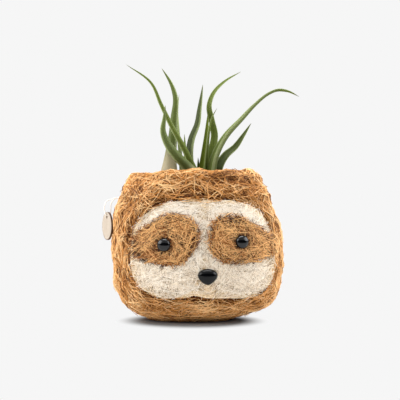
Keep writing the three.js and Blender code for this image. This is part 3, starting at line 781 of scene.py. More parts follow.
@dataclass(frozen=True)
class FaceForm:
    """Outline and lifts of the face panel and its patches, in millimetres."""

    mask_width: float = 105.0
    mask_height: float = 71.4
    mask_taper: float = 0.05
    mask_skew: float = 1.8
    top_power: float = 3.0
    foot_power: float = 3.7
    mask_top: float = 91.2
    mask_thickness: float = 5.0
    mask_inset: float = 0.2
    muzzle_rise: float = 3.5
    muzzle_radius: float = 24.0
    nose_x: float = 1.84
    nose_z: float = 35.97
    patch_width: float = 46.8
    patch_height: float = 36.5
    patch_taper: float = 0.3
    patch_droop: float = 3.5
    patch_bridge: float = 5.0
    patch_shift: float = 0.2
    patch_power: float = 0.85
    brow_power: float = 1.1
    crown_width: float = 0.33
    left_slant: float = 0.36
    right_slant: float = -0.15
    right_share: float = 0.9
    left_crown: tuple = (2.4, 0.15)
    right_crown: tuple = (2.8, -0.03)
    foot_dip: float = 1.8
    dip_place: float = 0.58
    dip_width: float = 0.24
    chin_notch: float = 1.6
    chin_x: float = -6.1
    chin_half: float = 5.6
    patch_z: float = 61.03
    patch_gap: float = 0.4
    patch_thickness: float = 1.2
    skin_lift: float = 0.6
    mask_scale: float = 40.0
    patch_scale: float = 18.0
    overshoot: float = 1.2
    outer_ease: float = 0.7

    @property
    def mask_foot(self) -> float:
        """Height of the window's foot."""
        return self.mask_top - self.mask_height

    def mask_outline(self, angle: Array, share: Array) -> tuple[Array, Array]:
        """Superellipse of the window, squarer and wider at the foot, its ends set aside."""
        square = np.where(np.sin(angle) > 0.0, self.top_power, self.foot_power)
        rise = signed_power(np.sin(angle), 2.0 / square) * share
        width = self.mask_width / 2.0 * (1.0 - self.mask_taper * rise)
        run = signed_power(np.cos(angle), 2.0 / square) * share
        x = width * run + self.mask_skew * rise**2
        return x, self.mask_top - self.mask_height / 2.0 + self.mask_half(run, rise) * rise

    def mask_half(self, run: Array, rise: Array) -> Array:
        """Half the window's height: its loose foot sags on either side, notched at the chin."""
        x = self.mask_width / 2.0 * run + self.mask_skew
        sag = self.foot_dip * bell(np.abs(run), self.dip_place, self.dip_width)
        notch = self.chin_notch * bell(x, self.chin_x, self.chin_half)
        return self.mask_height / 2.0 + (sag - notch) * (rise < 0.0)

    def patch_shape(self, sign: float) -> Pair:
        """Slant of the inner foot and height of the patch on one side."""
        left = (self.left_slant, self.patch_height)
        return left if sign < 0.0 else (self.right_slant, self.patch_height * self.right_share)

    def patch_half(self, across: Array, rise: Array, sign: float) -> Array:
        """Half a patch's height: less outwards, with a bell of loose strands on its brow."""
        tall = self.patch_shape(sign)[1]
        crown, place = self.left_crown if sign < 0.0 else self.right_crown
        brow = crown * bell(across, place, self.crown_width) * (rise > 0.0)
        lower = self.patch_taper * np.clip(across, -self.overshoot, self.overshoot)
        return tall / 2.0 * (1.0 - lower) + brow

    def patch_outline(self, sign: float) -> Outline:
        """Outline of one patch: tall by the nose, lower and drooping outwards, slanted inside."""
        slant = self.patch_shape(sign)[0]

        def outline(angle: Array, share: Array) -> tuple[Array, Array]:
            """Drooping superellipse at angles and shares of the way out."""
            inner_brow = (np.cos(angle) < 0.0) & (np.sin(angle) > 0.0) & (sign < 0.0)
            square = np.where(inner_brow, self.brow_power, self.patch_power)
            rise = signed_power(np.sin(angle), square) * share
            run = signed_power(np.cos(angle), square) * share
            across = run * (1.0 - slant * (run < 0.0) * np.maximum(-rise, 0.0))
            x = self.patch_bridge / 2.0 + self.patch_width / 2.0 * (1.0 + across)
            above = self.patch_half(across, rise, sign) * rise - self.patch_droop * across
            return sign * x + self.patch_shift, self.patch_z + above

        return outline

    def mask_edge(self, x: Array, z: Array) -> Array:
        """Rough distance to the window's edge: negative inside, positive outside."""
        rise = (z - self.mask_top) / (self.mask_height / 2.0) + 1.0
        power = np.where(rise > 0.0, self.top_power, self.foot_power)
        narrow = self.mask_taper * np.clip(rise, -self.overshoot, self.overshoot)
        run = (x - self.mask_skew * rise**2) / (self.mask_width / 2.0 * (1.0 - narrow))
        rise = rise * (self.mask_height / 2.0) / self.mask_half(run, rise)
        reach = (np.abs(run) ** power + np.abs(rise) ** power) ** (1.0 / power)
        return (reach - 1.0) * self.mask_scale

    def patch_edge(self, x: Array, z: Array, sign: float) -> Array:
        """Rough distance to one patch's edge: negative inside, positive outside."""
        slant = self.patch_shape(sign)[0]
        out = sign * (x - self.patch_shift) - self.patch_bridge / 2.0
        across = out / (self.patch_width / 2.0) - 1.0
        above = z - self.patch_z + self.patch_droop * across
        rise = above / self.patch_half(across, above, sign)
        inner_brow = (across < 0.0) & (rise > 0.0) & (sign < 0.0)
        power = 2.0 / np.where(inner_brow, self.brow_power, self.patch_power)
        cut = 1.0 - slant * np.clip(-rise, 0.0, self.overshoot)
        run = np.where(across > 0.0, across * self.outer_ease, across / cut)
        reach = (np.abs(run) ** power + np.abs(rise) ** power) ** (1.0 / power)
        return (reach - 1.0) * self.patch_scale

    def mask_front(self, x: Array, z: Array) -> Array:
        """Lift of the panel's front: inset, with a bell-shaped muzzle."""
        away = np.hypot(x - self.nose_x, z - self.nose_z) / self.muzzle_radius
        return self.muzzle_rise * np.exp(-2.0 * away * away) - self.mask_inset


class Coat:
    """The pot's skin from the middle of the base, up the side and over the rim into the cavity.

    A place on it is an angle round the pot and a distance along the profile.
    """

    fold_width: float = 0.17
    nick_width: float = 0.2
    crease_depth: float = 2.0

    def __init__(self, pot: PotForm) -> None:
        """Works out the profile: half-width, height, plan power, depth ratio and lean."""
        self.pot = pot
        self.tufts = Ripple(12.0, 0.3, SEED + 2)
        self.wisps = Ripple(7.0, 0.3, SEED + 5)
        self.folds = Ripple(24.0, 1.0, SEED + 6)
        self.where_folded = Ripple(40.0, 1.0, SEED + 7)
        self.nicks = Ripple(10.0, 1.0, SEED + 9)
        self.where_nicked = Ripple(15.0, 1.0, SEED + 12)
        base = np.linspace(0.0, pot.base_half, 24, endpoint=False)
        climb = pot.belly_z * (1.0 - np.cos(np.linspace(0.0, np.pi / 2.0, 80)))
        shoulder = pot.rim_z - pot.roll
        side = np.concatenate([climb, np.linspace(pot.belly_z, shoulder, 70)[1:]])
        above = (side - pot.seat_z) / (shoulder - pot.seat_z)
        brow = np.where(above > 0.0, np.cos(above * np.pi / 2.0), 0.0)
        crest = (pot.shoulder_half * pot.depth_ratio + pot.mouth_radius) / 2.0
        roll = np.linspace(0.0, np.pi / 2.0, 24)[1:]
        inner = crest - pot.mouth_radius
        wall = np.linspace(pot.rim_z - inner, pot.cavity_floor + pot.cavity_fillet, 50)[1:]
        self.half = np.concatenate(
            [
                base,
                pot.half_width(side) + pot.brow_proud * brow,
                crest + (pot.shoulder_half - crest) * np.cos(roll),
                pot.mouth_radius + inner * (1.0 - np.sin(roll)),
                np.full(len(wall), pot.mouth_radius),
            ]
        )
        self.z = np.concatenate(
            [
                np.zeros(len(base)),
                side,
                shoulder + pot.roll * np.sin(roll),
                pot.rim_z - inner * (1.0 - np.cos(roll)),
                wall,
            ]
        )
        over = np.concatenate(
            [
                np.zeros(len(base) + len(side)),
                0.6 * np.sin(roll),
                0.6 + 0.4 * np.sin(roll),
                np.ones(len(wall)),
            ]
        )
        self.power = pot.plan_power + (2.0 - pot.plan_power) * over
        self.ratio = pot.depth_ratio + (1.0 - pot.depth_ratio) * over
        self.shift = pot.lean(self.z) * (1.0 - over) + pot.mouth_lean * over
        self.s = np.concatenate([[0.0], np.cumsum(np.hypot(np.diff(self.half), np.diff(self.z)))])
        self.s_base = float(self.s[len(base)])
        self.s_seat = float(np.interp(pot.seat_z, side, self.s[len(base) : len(base) + len(side)]))
        self.s_crest = float(self.s[len(base) + len(side) + len(roll) - 1])

    def smooth_point(self, angle: Array, s: Array) -> Array:
        """Point of the plain skin: a superellipse in polar form at each profile place."""
        profile = (self.half, self.z, self.power, self.ratio, self.shift)
        half, z, power, ratio, shift = (np.interp(s, self.s, values) for values in profile)
        spread = np.abs(np.cos(angle)) ** power + np.abs(np.sin(angle) / ratio) ** power
        radius = half * spread ** (-1.0 / power)
        return np.stack([shift + radius * np.cos(angle), radius * np.sin(angle), z], axis=-1)

    def normal(self, angle: Array, s: Array) -> Array:
        """Direction out of the skin: the way round crossed with the way up, by differences."""
        turn, step = 0.004, 0.4
        around = self.smooth_point(angle + turn, s) - self.smooth_point(angle - turn, s)
        below = np.maximum(s - step, 0.0)
        up = self.smooth_point(angle, s + step) - self.smooth_point(angle, below)
        return unit(np.cross(around, up))

    def crease(self, points: Array) -> Array:
        """Creases and nicks between locks, deepest on the collar.

        They are narrow bells about the zero lines of two ripples, each kept to the places where a
        second ripple is high.

        Args:
            points: positions in millimetres.

        Returns:
            Depths as shares of the deepest crease.
        """
        line = bell(self.folds(points), 0.0, self.fold_width)
        line *= smooth(self.where_folded(points), -0.5, 0.7)
        nick = bell(self.nicks(points), 0.0, self.nick_width)
        nick *= smooth(self.where_nicked(points), 0.1, 0.8)
        collar = smooth(points[..., 2], 86.0, 93.0)
        return line * (0.35 + 0.65 * collar) + 0.6 * nick * (0.2 + 0.8 * collar)

    def swell(self, points: Array) -> Array:
        """Lumps, tufts and creases of the hand-laid coat, fading out at the base."""
        loose = self.tufts(points) + self.wisps(points) - self.crease_depth * self.crease(points)
        return self.pot.lump(points) + loose * smooth(points[..., 2], 1.0, 16.0)

    def press(self, points: Array) -> Array:
        """How far the coat is pressed in: a bell at the left shoulder, steps at the flanks."""
        pot = self.pot
        x, z = points[..., 0], points[..., 2]
        shoulder = pot.shoulder_press * bell(z, 94.5, 6.5) * smooth(-x, 38.0, 54.0)
        flanks = pot.right_press * smooth(x, 50.0, 61.0) + pot.left_press * smooth(-x, 52.0, 62.0)
        return shoulder + flanks * smooth(z, 18.0, 30.0) * (1.0 - smooth(z, 82.0, 92.0))

    def tuck(self, points: Array) -> Array:
        """How far the coat is tucked in just above the base: up one smooth step, down another."""
        z = points[..., 2]
        return self.pot.foot_tuck * smooth(z, 0.02, 1.0) * (1.0 - smooth(z, 3.0, 15.0))

    def point(self, angle: Array, s: Array, lift: Array | float) -> tuple[Array, Array]:
        """Points raised off the lumpy skin, whose rim sinks by smooth steps at both sides.

        Args:
            angle: places round the pot.
            s: places along the profile.
            lift: distance off the skin.

        Returns:
            Points and the skin's directions there.
        """
        pot = self.pot
        points = self.smooth_point(angle, s)
        normals = self.normal(angle, s)
        height = np.asarray(lift) + self.swell(points) - self.tuck(points) - self.press(points)
        raised = points + normals * height[..., None]
        x = points[..., 0]
        sag = pot.rim_drop + pot.rim_sag * smooth(-x, 8.0, 46.0)
        sag += pot.right_sag * smooth(x, 36.0, 52.0)
        raised[..., 2] -= sag * smooth(points[..., 2], 97.0, 110.0)
        return raised, normals

    def radius_at(self, s: Array) -> Array:
        """Half-width at profile places."""
        return np.interp(s, self.s, self.half)


def dress(obj: Piece, body: Body, slot: str, material: Material, *nodes: str) -> Piece:
    """Gives a piece its material and body, and hides the nodes that it stands for.

    Args:
        obj: the piece.
        body: the body that it rides on.
        slot: not used.
        material: its finish.
        nodes: CAD nodes that it replaces.

    Returns:
        The piece.
    """
    obj.data.materials.append(material)
    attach(obj, body.value)
    if nodes:
        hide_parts(*nodes)
    LOG.info("%s: %d faces, rides on %s", obj.name, len(obj.data.polygons), body.value)
    return obj


def face_pad(
    pot: PotForm, outline: Outline, back: Lift, front: Lift, around: int, rings: int
) -> Grid:
    """A closed pad on the face: rings of an outline from the middle of its back to its front.

    Args:
        pot: the surface that it lies on.
        outline: sideways place and height for angles and shares of the way out.
        back: lift of the back for sideways places, heights and shares.
        front: lift of the front.
        around: points in a ring.
        rings: rings on each side.

    Returns:
        The pad's grid.
    """
    angle = turns(around)
    shares = np.sin(np.linspace(0.0, np.pi / 2.0, rings + 1))[1:]

    def layer(share: Array, lift: Lift) -> Array:
        """Rings at shares of the way out."""
        x, z = outline(angle[None, :], share[:, None])
        return pot.face(x, z, lift(x, z, np.broadcast_to(share[:, None], x.shape)))[0]

    def middle(lift: Lift) -> Array:
        """The pole of one side."""
        x, z = outline(np.zeros(1), np.zeros(1))
        return pot.face(x, z, lift(x, z, np.zeros(1)))[0]

    rows = np.concatenate([layer(shares, back), layer(shares[::-1], front)])
    return Grid(rows[:, ::-1], middle(back), middle(front))


def revolve(profile: Array, around: int) -> Grid:
    """Turns a profile of radius and height about +Z; its first and last points are poles."""
    radius, height = profile[1:-1, :, None, None].swapaxes(0, 1)
    rows = radius * circle(turns(around)) + height * UP
    return Grid(rows, profile[0, 1] * UP, profile[-1, 1] * UP)


def upright(direction: Array) -> Array:
    """Turning matrix that takes +Z to a direction and keeps +Y as near up as it can."""
    across = unit(np.cross(UP, direction))
    return np.stack([across, np.cross(direction, across), direction], axis=-1)


def placed(grid: Grid, turn: Array, spot: Array) -> Grid:
    """A grid turned and moved to a spot."""

    def move(points: Array | None) -> Array | None:
        """Turned and moved points, or none."""
        return None if points is None else points @ turn.T + spot

    return Grid(move(grid.rows), move(grid.start), move(grid.end), grid.ring)


def catmull(points: Array, count: int) -> Array:
    """Centripetal spline through points, at even lengths.

    Knots are spaced by the square root of each span, and the ends repeat their last span.

    Args:
        points: points to pass, shape (n, 3).
        count: number of samples.

    Returns:
        Samples at even distances along the curve.
    """
    ends = np.concatenate([[2.0 * points[0] - points[1]], points, [2.0 * points[-1] - points[-2]]])
    gaps = np.sqrt(np.linalg.norm(np.diff(ends, axis=0), axis=1))
    knots = np.concatenate([[0.0], np.cumsum(gaps)])
    t = np.linspace(knots[1], knots[-2], 1200)
    i = np.clip(np.searchsorted(knots, t, side="right") - 1, 1, len(points) - 1)

    def blend(first: Array, second: Array, low: Array, high: Array) -> Array:
        """Straight mix of two point sets between two knots."""
        share = ((t - low) / (high - low))[:, None]
        return first * (1.0 - share) + second * share

    p = [ends[i + k] for k in (-1, 0, 1, 2)]
    k = [knots[i + n] for n in (-1, 0, 1, 2)]
    a = [blend(p[n], p[n + 1], k[n], k[n + 1]) for n in range(3)]
    b = [blend(a[n], a[n + 1], k[n], k[n + 2]) for n in range(2)]
    curve = blend(b[0], b[1], k[1], k[2])
    length = way_along(curve)
    even = np.linspace(0.0, length[-1], count)
    return np.stack([np.interp(even, length, curve[:, axis]) for axis in range(3)], axis=-1)


@dataclass
class CoirPot:
    """Shell and collar of packed coir with their coat of strands.

    Lengths are in millimetres. Strand size is the shape and scale of the gamma law of the lengths
    over the shortest, and pile the lowest and highest lift off the skin. Girth, waver and stand-off
    run from least to most, and tone is the mean and spread of the shades. A share of the strands
    is darkened by a set amount as painted shade of the gaps between strands.
    """

    pot: PotForm
    window: FaceForm
    around: int = 300
    skin_depth: float = 0.5
    collar_depth: float = 0.4
    window_depth: float = 3.4
    seat_gap: float = 0.3
    foot_gap: float = 0.35
    floor_ring: float = 14.0
    strands_laid: int = 29000
    strand_size: Pair = (5.0, 3.2)
    shortest: float = 5.0
    near_face: float = 12.0
    near_share: float = 0.72
    into_cavity: float = 34.0
    pile: Pair = (-0.5, 1.1)
    strand_radius: float = 0.17
    girth: Pair = (0.7, 1.45)
    thicker_collar: float = 0.3
    strand_steps: int = 6
    bend: float = 0.012
    waver: Pair = (0.02, 0.16)
    weave: float = 0.28
    stand_off: Pair = (0.4, 1.7)
    stand_off_share: float = 0.05
    tone: Pair = (0.2, 0.24)
    # Painted shade of the gaps: how much a share of the strands is darkened, and that share.
    gap_shade_drop: float = 0.7
    gap_shade_share: float = 0.12
    any_way_share: float = 0.48
    flank: float = 40.0
    front: float = -8.0

    def __post_init__(self) -> None:
        """Works out the coat."""
        self.coat = Coat(self.pot)
        self.sway = Ripple(20.0, 0.5, SEED + 8)

    def sunk(self, points: Array) -> Array:
        """How far the skin sinks at the face window, in millimetres."""
        edge = self.window.mask_edge(points[..., 0], points[..., 2])
        front = smooth(-points[..., 1], 8.0, 14.0)
        return self.window_depth * smooth(-edge, 0.0, 2.0) * front

    def build_shell(self) -> Piece:
        """Packed skin of the shell: coat rows up to the seat, then the cavity down to its floor.

        Returns:
            The piece, which stands for the shell node.
        """
        coat, pot = self.coat, self.pot
        angle = turns(self.around)
        base = np.linspace(4.0, coat.s_base, 8)
        s = np.concatenate([base, np.linspace(coat.s_base, coat.s_seat, 96)[1:]])
        turn, along = np.meshgrid(angle, s)
        plain = coat.smooth_point(turn, along)
        outer = coat.point(turn, along, -self.skin_depth - self.sunk(plain))[0]
        outer[..., 2] = np.maximum(outer[..., 2], self.foot_gap)
        corner = np.linspace(0.0, np.pi / 2.0, 10)
        fillet = pot.mouth_radius - pot.cavity_fillet * (1.0 - np.cos(corner))
        radius = np.concatenate([[pot.mouth_radius], fillet, [self.floor_ring]])
        drop = pot.cavity_floor + pot.cavity_fillet * (1.0 - np.sin(corner))
        height = np.concatenate([[pot.seat_z - self.seat_gap], drop, [pot.cavity_floor]])
        middle = np.array([pot.mouth_lean, 0.0, 0.0])
        inner = middle + radius[:, None, None] * circle(angle) + height[:, None, None] * UP
        foot = np.array([pot.foot_lean, 0.0, self.foot_gap])
        grid = Grid(np.concatenate([outer, inner]), foot, middle + pot.cavity_floor * UP)
        obj = grid.build("coir_shell_skin")
        return dress(obj, Body.PLANTER, "coir", self.packed, "coir_shell")

    def build_collar(self) -> Piece:
        """Packed skin of the collar: a closed run of rows from its foot over the rim and back.

        Returns:
            The piece, which stands for the collar node.
        """
        coat, pot = self.coat, self.pot
        inside = coat.s > coat.s_crest
        end = float(np.interp(-pot.seat_z, -coat.z[inside], coat.s[inside]))
        rows = np.linspace(coat.s_seat + self.collar_depth, end, 64)
        turn, along = np.meshgrid(turns(self.around), rows)
        outer = coat.point(turn, along, -self.collar_depth)[0]
        foot = outer[[-1]] * (1.0 - UP) + pot.seat_z * UP
        obj = Grid(np.concatenate([outer, foot]), ring=True).build("rim_collar_skin")
        return dress(obj, Body.PLANTER, "collar_coir", self.packed, "rim_collar")

    def flow(self, points: Array, s: Array, rng: Chance) -> Array:
        """Lie of the strands, as an angle from level.

        Round the face they follow its window, on the collar they run level, and elsewhere they
        run level behind and upright at the flanks; each strays by a random angle and sways with
        its neighbours, and some lie any way.

        Args:
            points: where the strands are.
            s: places along the profile.
            rng: random source.

        Returns:
            Angles from level.
        """
        count = len(points)
        x, z = points[:, 0], points[:, 2]
        step = 0.5
        slope_x = self.window.mask_edge(x + step, z) - self.window.mask_edge(x - step, z)
        slope_z = self.window.mask_edge(x, z + step) - self.window.mask_edge(x, z - step)
        rim = np.arctan2(slope_x, -slope_z)
        front = (points[:, 1] < self.front) & (s < self.coat.s_seat)
        sway = self.sway(points)
        level = np.where(np.abs(x) > self.flank, np.pi / 2.0, 0.0)
        level = level + rng.normal(0.0, 0.45, count) + 0.8 * sway
        lie = np.where(front, rim + rng.normal(0.0, 0.36, count) + 0.5 * sway, level)
        collar = s >= self.coat.s_seat
        lie = np.where(collar, rng.normal(0.0, 0.4, count) + sway, lie)
        any_way = rng.random(count) < self.any_way_share
        return np.where(any_way, rng.uniform(0.0, np.pi, count), lie)

    def strands(
        self,
        angle: Array,
        s: Array,
        lie: Array,
        length: Array,
        depth: Array,
        rng: Chance,
    ) -> Fibres:
        """Strands laid on the coat.

        Each bends steadily and wavers as it goes; its two steps on the skin are summed along its
        length, and its lift weaves up and down so that strands pass over each other. The upper
        ones are thicker and a few stand off. Their tone carries painted shade: strands low in the
        pile and in creases are darker, those on lumps paler, low ones on the collar darker still,
        and a share is darkened to stand for the gaps between strands.

        Args:
            angle: place round the pot of each strand's middle.
            s: place along the profile of each middle.
            lie: angle from level at the middle.
            length: strand lengths.
            depth: lift of the middles off the skin.
            rng: random source.

        Returns:
            The strands.
        """
        count = len(angle)
        t = np.linspace(-0.5, 0.5, self.strand_steps)
        bend = rng.normal(0.0, self.bend, count) * length
        waver = rng.uniform(*self.waver, count)
        phase = rng.uniform(0.0, 2.0 * np.pi, (count, 2))
        heading = lie[:, None] + bend[:, None] * t
        heading = heading + waver[:, None] * np.sin(7.0 * t + phase[:, :1])
        east, north = walk(heading, length)
        way_s = np.clip(s[:, None] + north, self.coat.s_base * 0.6, self.coat.s[-1] - 1.0)
        radius = np.maximum(self.coat.radius_at(way_s), 20.0)
        way_angle = angle[:, None] + east / radius
        weave = self.weave * np.sin(9.0 * t + phase[:, 1:])
        off = (rng.random(count) < self.stand_off_share) * rng.uniform(*self.stand_off, count)
        tip = rng.choice([-1.0, 1.0], count)[:, None] * t + 0.5
        lift = depth[:, None] + weave + off[:, None] * tip**2.5
        points, normals = self.coat.point(way_angle, way_s, lift)
        bottom, top = self.pile
        layer = (depth - bottom) / (top - bottom)
        collar = s >= self.coat.s_seat
        girth = self.strand_radius * (0.7 + 0.6 * layer) * rng.uniform(*self.girth, count)
        girth = girth * (1.0 + self.thicker_collar * collar)
        raised = self.coat.swell(self.coat.smooth_point(angle, s))
        # Painted shade: darker low in the pile and in creases, paler on lumps, darker low on the
        # collar.
        shade = rng.normal(*self.tone, count) + 0.58 * layer + 0.3 * raised
        shade = shade + 0.5 * collar * (layer - 0.98)
        # Painted shade: a share of the strands is darkened to stand for the gaps between strands.
        shade = shade - self.gap_shade_drop * (rng.random(count) < self.gap_shade_share)
        return Fibres(points, normals, girth, np.clip(shade, 0.0, 1.0))

    def region(self, angle: Array, s: Array) -> Array:
        """Which mat a strand belongs to, as a place in the list of regions."""
        turn = np.degrees(angle) % 360.0
        front = (turn > 180.0) & (turn < 360.0)
        collar = s >= self.coat.s_seat
        facing = (turn > 225.0) & (turn < 315.0)
        behind = (turn > 45.0) & (turn < 135.0)
        right = (turn <= 45.0) | (turn >= 315.0)
        sides = [Region.SHELL_FRONT.place, Region.SHELL_BACK.place, Region.SHELL_RIGHT.place]
        shell = np.select([facing, behind, right], sides, Region.SHELL_LEFT.place)
        band = np.where(front, Region.COLLAR_FRONT.place, Region.COLLAR_BACK.place)
        return np.where(collar, band, shell)

    def crossing(self, paths: Array, rng: Chance) -> Array:
        """Which strands reach too far over the face.

        Each may pass the window's edge by a small random length, further beside the outer ends of
        the patches, and none lies in the ellipse of the chin's notch.

        Args:
            paths: centre lines of the strands.
            rng: random source.

        Returns:
            True for each strand that crosses.
        """
        window = self.window
        x, z = paths[..., 0], paths[..., 2]
        over = (paths[..., 1] < 0.0) & (z < self.pot.seat_z)
        beside = np.minimum(window.patch_edge(x, z, -1.0), window.patch_edge(x, z, 1.0))
        reach = smooth(-beside - 3.0 * smooth(-x, 40.0, 48.0), -6.0, -2.0)
        bridge = 9.0 * reach * smooth(np.abs(x), 34.0, 44.0)
        past = np.clip(np.abs(rng.normal(0.0, 1.2, len(paths))), 0.2, 3.2)[:, None]
        past = past * (1.0 - 0.5 * (z < 36.0)) + bridge
        aside, above = (x - window.chin_x) / window.chin_half, z - window.mask_foot - 0.7
        notch = aside**2 + above**2 < 1.0
        return (over & ((window.mask_edge(x, z) < -past) | notch)).any(axis=1)

    def grow(self, rng: Chance) -> None:
        """Scatters strands evenly over the skin, drops those that cross the face, builds the mats.

        Args:
            rng: random source.
        """
        coat, count = self.coat, self.strands_laid
        low, high = coat.s_base * 0.75, coat.s_crest + self.into_cavity
        fine = np.linspace(low, high, 2000)
        weight = np.cumsum(coat.radius_at(fine) + 6.0)
        s = np.interp(rng.random(count) * weight[-1], weight, fine)
        angle = rng.uniform(0.0, 2.0 * np.pi, count)
        plain = coat.smooth_point(angle, s)
        length = rng.gamma(*self.strand_size, count) + self.shortest
        near = self.window.mask_edge(plain[:, 0], plain[:, 2]) < self.near_face
        length = np.where(near & (plain[:, 1] < 0.0), length * self.near_share, length)
        depth = rng.uniform(*self.pile, count)
        lie = self.flow(plain, s, rng)
        fibres = self.strands(angle, s, lie, length, depth, rng)
        kept = ~self.crossing(fibres.paths, rng)
        where = self.region(angle, s)
        for mat in Region:
            obj = fibres.keep((where == mat.place) & kept).build(mat.value)
            dress(obj, Body.PLANTER, mat.slot, self.loose)

    def build(self) -> None:
        """Builds the skins and the mats of strands."""
        self.packed = Palette.coir_packed.material()
        self.loose = Palette.coir_strands.material()
        self.build_shell()
        self.build_collar()
        self.grow(np.random.default_rng(SEED))


@dataclass(frozen=True)
class Strewing:
    """How strands are strewn over a pad: where, how many, how long, how thick and how pale.

    Size is the shape and scale of the gamma law of lengths, girth the least and largest radius,
    tone the mean and spread of the shades, fringe that of the overhang, and pile its height. Depth
    is painted shade, how much darker the bottom of the pile is than its top, and softened how much
    paler the strands are at the edge; crowned is painted light, how much paler they are below the
    brow, and hollow painted shade, how much darker they are by the eyes.
    """

    outline: Outline
    edge: Callable[[Array, Array], Array]
    count: int
    size: Pair
    girth: Pair
    tone: Pair
    fringe: Pair
    pile: float
    depth: float
    softened: float = 0.0
    brow_painted_light: float = 0.0
    eye_painted_shade: float = 0.0


@dataclass(frozen=True)
class EyeSpot:
    """Where an eye sits on the face: its side, that side's sign, its sideways place and height."""

    side: str
    sign: float
    x: float
    z: float

    def away(self, x: Array, z: Array) -> Array:
        """Distance of places on the face from the eye."""
        return np.hypot(x - self.x, z - self.z)


@dataclass
class Face:
    """Cream panel, brown patches, eyes and nose.

    Round each eye the strands are pressed flat between two distances, and a groove deepens over
    its inner range and ends over its outer one. The pad of a patch covers its share of the outline.
    """

    pot: PotForm
    form: FaceForm
    eyes: tuple = (EyeSpot("left", -1.0, -28.82, 58.44), EyeSpot("right", 1.0, 26.78, 60.33))
    eye_diameter: float = 10.0
    eye_dome: float = 4.2
    nose_width: float = 15.4
    nose_height: float = 11.8
    nose_dome: float = 5.0
    girdle: float = 0.6
    peg_radius: float = 2.0
    peg_past: float = 3.5
    seat_gap: float = 0.3
    strand_steps: int = 6
    shortest: float = 2.0
    bend: float = 0.008
    waver: float = 0.03
    weave: float = 0.12
    rim_lift: float = 0.7
    pressed: Pair = (5.2, 6.8)
    groove_in: Pair = (4.0, 5.0)
    groove_out: Pair = (5.2, 6.4)
    groove_depth: float = 0.6
    chin_crease: float = 3.2
    patch_share: float = 0.82

    def build_mask(self) -> None:
        """The panel as a pad with a rolled edge, and its fine pale strands."""
        form = self.form
        uneven = Ripple(14.0, 0.22, SEED + 3)

        def front(x: Array, z: Array, share: Array) -> Array:
            """Front lift, uneven, rolled down at the edge and creased by two bells at the chin."""
            here = self.pot.face(x, z, 0.0)[0]
            crease = self.chin_crease * bell(x, form.chin_x, form.chin_half)
            crease = crease * bell(z, form.mask_foot + 2.2, 1.5)
            rolled = 0.4 * smooth(share, 0.94, 1.0)
            return form.mask_front(x, z) + form.skin_lift + uneven(here) - rolled - crease

        def back(x: Array, z: Array, share: Array) -> Array:
            """Flat back."""
            return np.full_like(x, -form.mask_inset - form.mask_thickness)

        pad = face_pad(self.pot, form.mask_outline, back, front, 160, 40)
        obj = pad.build("face_mask_skin")
        dress(obj, Body.PLANTER, "cream_fibre", Palette.cream_packed.material(), "face_mask")
        rng = np.random.default_rng(SEED + 10)
        lay = Strewing(
            form.mask_outline,
            form.mask_edge,
            count=6000,
            size=(4.4, 3.0),
            girth=(0.11, 0.25),
            tone=(0.62, 0.44),
            fringe=(0.8, 1.1),
            pile=0.42,
            # Painted shade low in the pile and painted light below the brow.
            depth=0.5,
            brow_painted_light=0.4,
        )
        obj = self.scatter(lay, front, rng).build("face_mask_fibres")
        dress(obj, Body.PLANTER, "cream_fibre", Palette.cream_strands.material())

    def scatter(self, lay: Strewing, surface: Lift, rng: Chance) -> Fibres:
        """Strands strewn over a pad of the face.

        Middles are spread evenly over the outline; each strand runs at a random angle and bends.
        The strands lie in a shallow pile, lower at the pad's edge and pressed flat round the eyes,
        and they rise over the edge of the window. Their tone carries painted shade, palest at the
        top of the pile and darker by the eyes, and painted light below the brow.

        Args:
            lay: how the strands lie.
            surface: lift of the pad's front.
            rng: random source.

        Returns:
            The strands.
        """
        count = lay.count
        t = np.linspace(-0.5, 0.5, self.strand_steps)
        angle = rng.uniform(0.0, 2.0 * np.pi, count)
        share = np.sqrt(rng.random(count))
        x, z = lay.outline(angle, share)
        length = rng.gamma(*lay.size, count) + self.shortest
        heading = rng.uniform(0.0, np.pi, count)
        phase = rng.uniform(0.0, 2.0 * np.pi, (count, 1))
        bend = rng.normal(0.0, self.bend, (count, 1)) * length[:, None]
        way = heading[:, None] + bend * t + self.waver * np.sin(8.0 * t + phase)
        east, north = walk(way, length)
        px, pz = x[:, None] + east, z[:, None] + north
        level = rng.random((count, 1))
        rim = self.form.mask_edge(px, pz)
        pressed = np.ones_like(px)
        for eye in self.eyes:
            pressed *= smooth(eye.away(px, pz), *self.pressed)
        border = lay.edge(px, pz)
        outer = smooth(border, -4.5, 0.5)
        weave = self.weave * np.sin(9.0 * t + phase)
        pile = (lay.pile * level * (1.0 - 0.75 * outer) + weave) * pressed
        lift = surface(px, pz, np.zeros_like(px)) + pile
        lift = lift + self.rim_lift * smooth(rim, -2.5, 0.5)
        points, normals = self.pot.face(px, pz, lift)
        slack = np.clip(rng.normal(*lay.fringe, count), -2.5, 3.0)
        inside = border.max(axis=1) < slack
        inside &= rim.max(axis=1) < np.clip(rng.normal(0.8, 1.1, count), -0.5, 3.2)
        edged = smooth(border.mean(axis=1), -4.0, 0.5)
        tone = rng.normal(*lay.tone, count)
        # Painted shade low in the pile, painted light below the brow, painted shade by the eyes.
        tone += lay.depth * (level[:, 0] - 0.5) * (1.0 - 0.6 * edged)
        tone += lay.softened * edged + lay.brow_painted_light * smooth(z, 70.0, 78.0)
        tone -= lay.eye_painted_shade * (1.0 - pressed.mean(axis=1))
        girth = rng.uniform(*lay.girth, count)
        return Fibres(points, normals, girth, np.clip(tone, 0.35 * edged, 1.0)).keep(inside)

    def build_patch(self, spot: EyeSpot) -> None:
        """One patch: a thin pad and the strands that cover and fringe it."""
        form = self.form
        name = f"eye_patch_{spot.side}"
        uneven = Ripple(9.0, 0.2, SEED + 4)

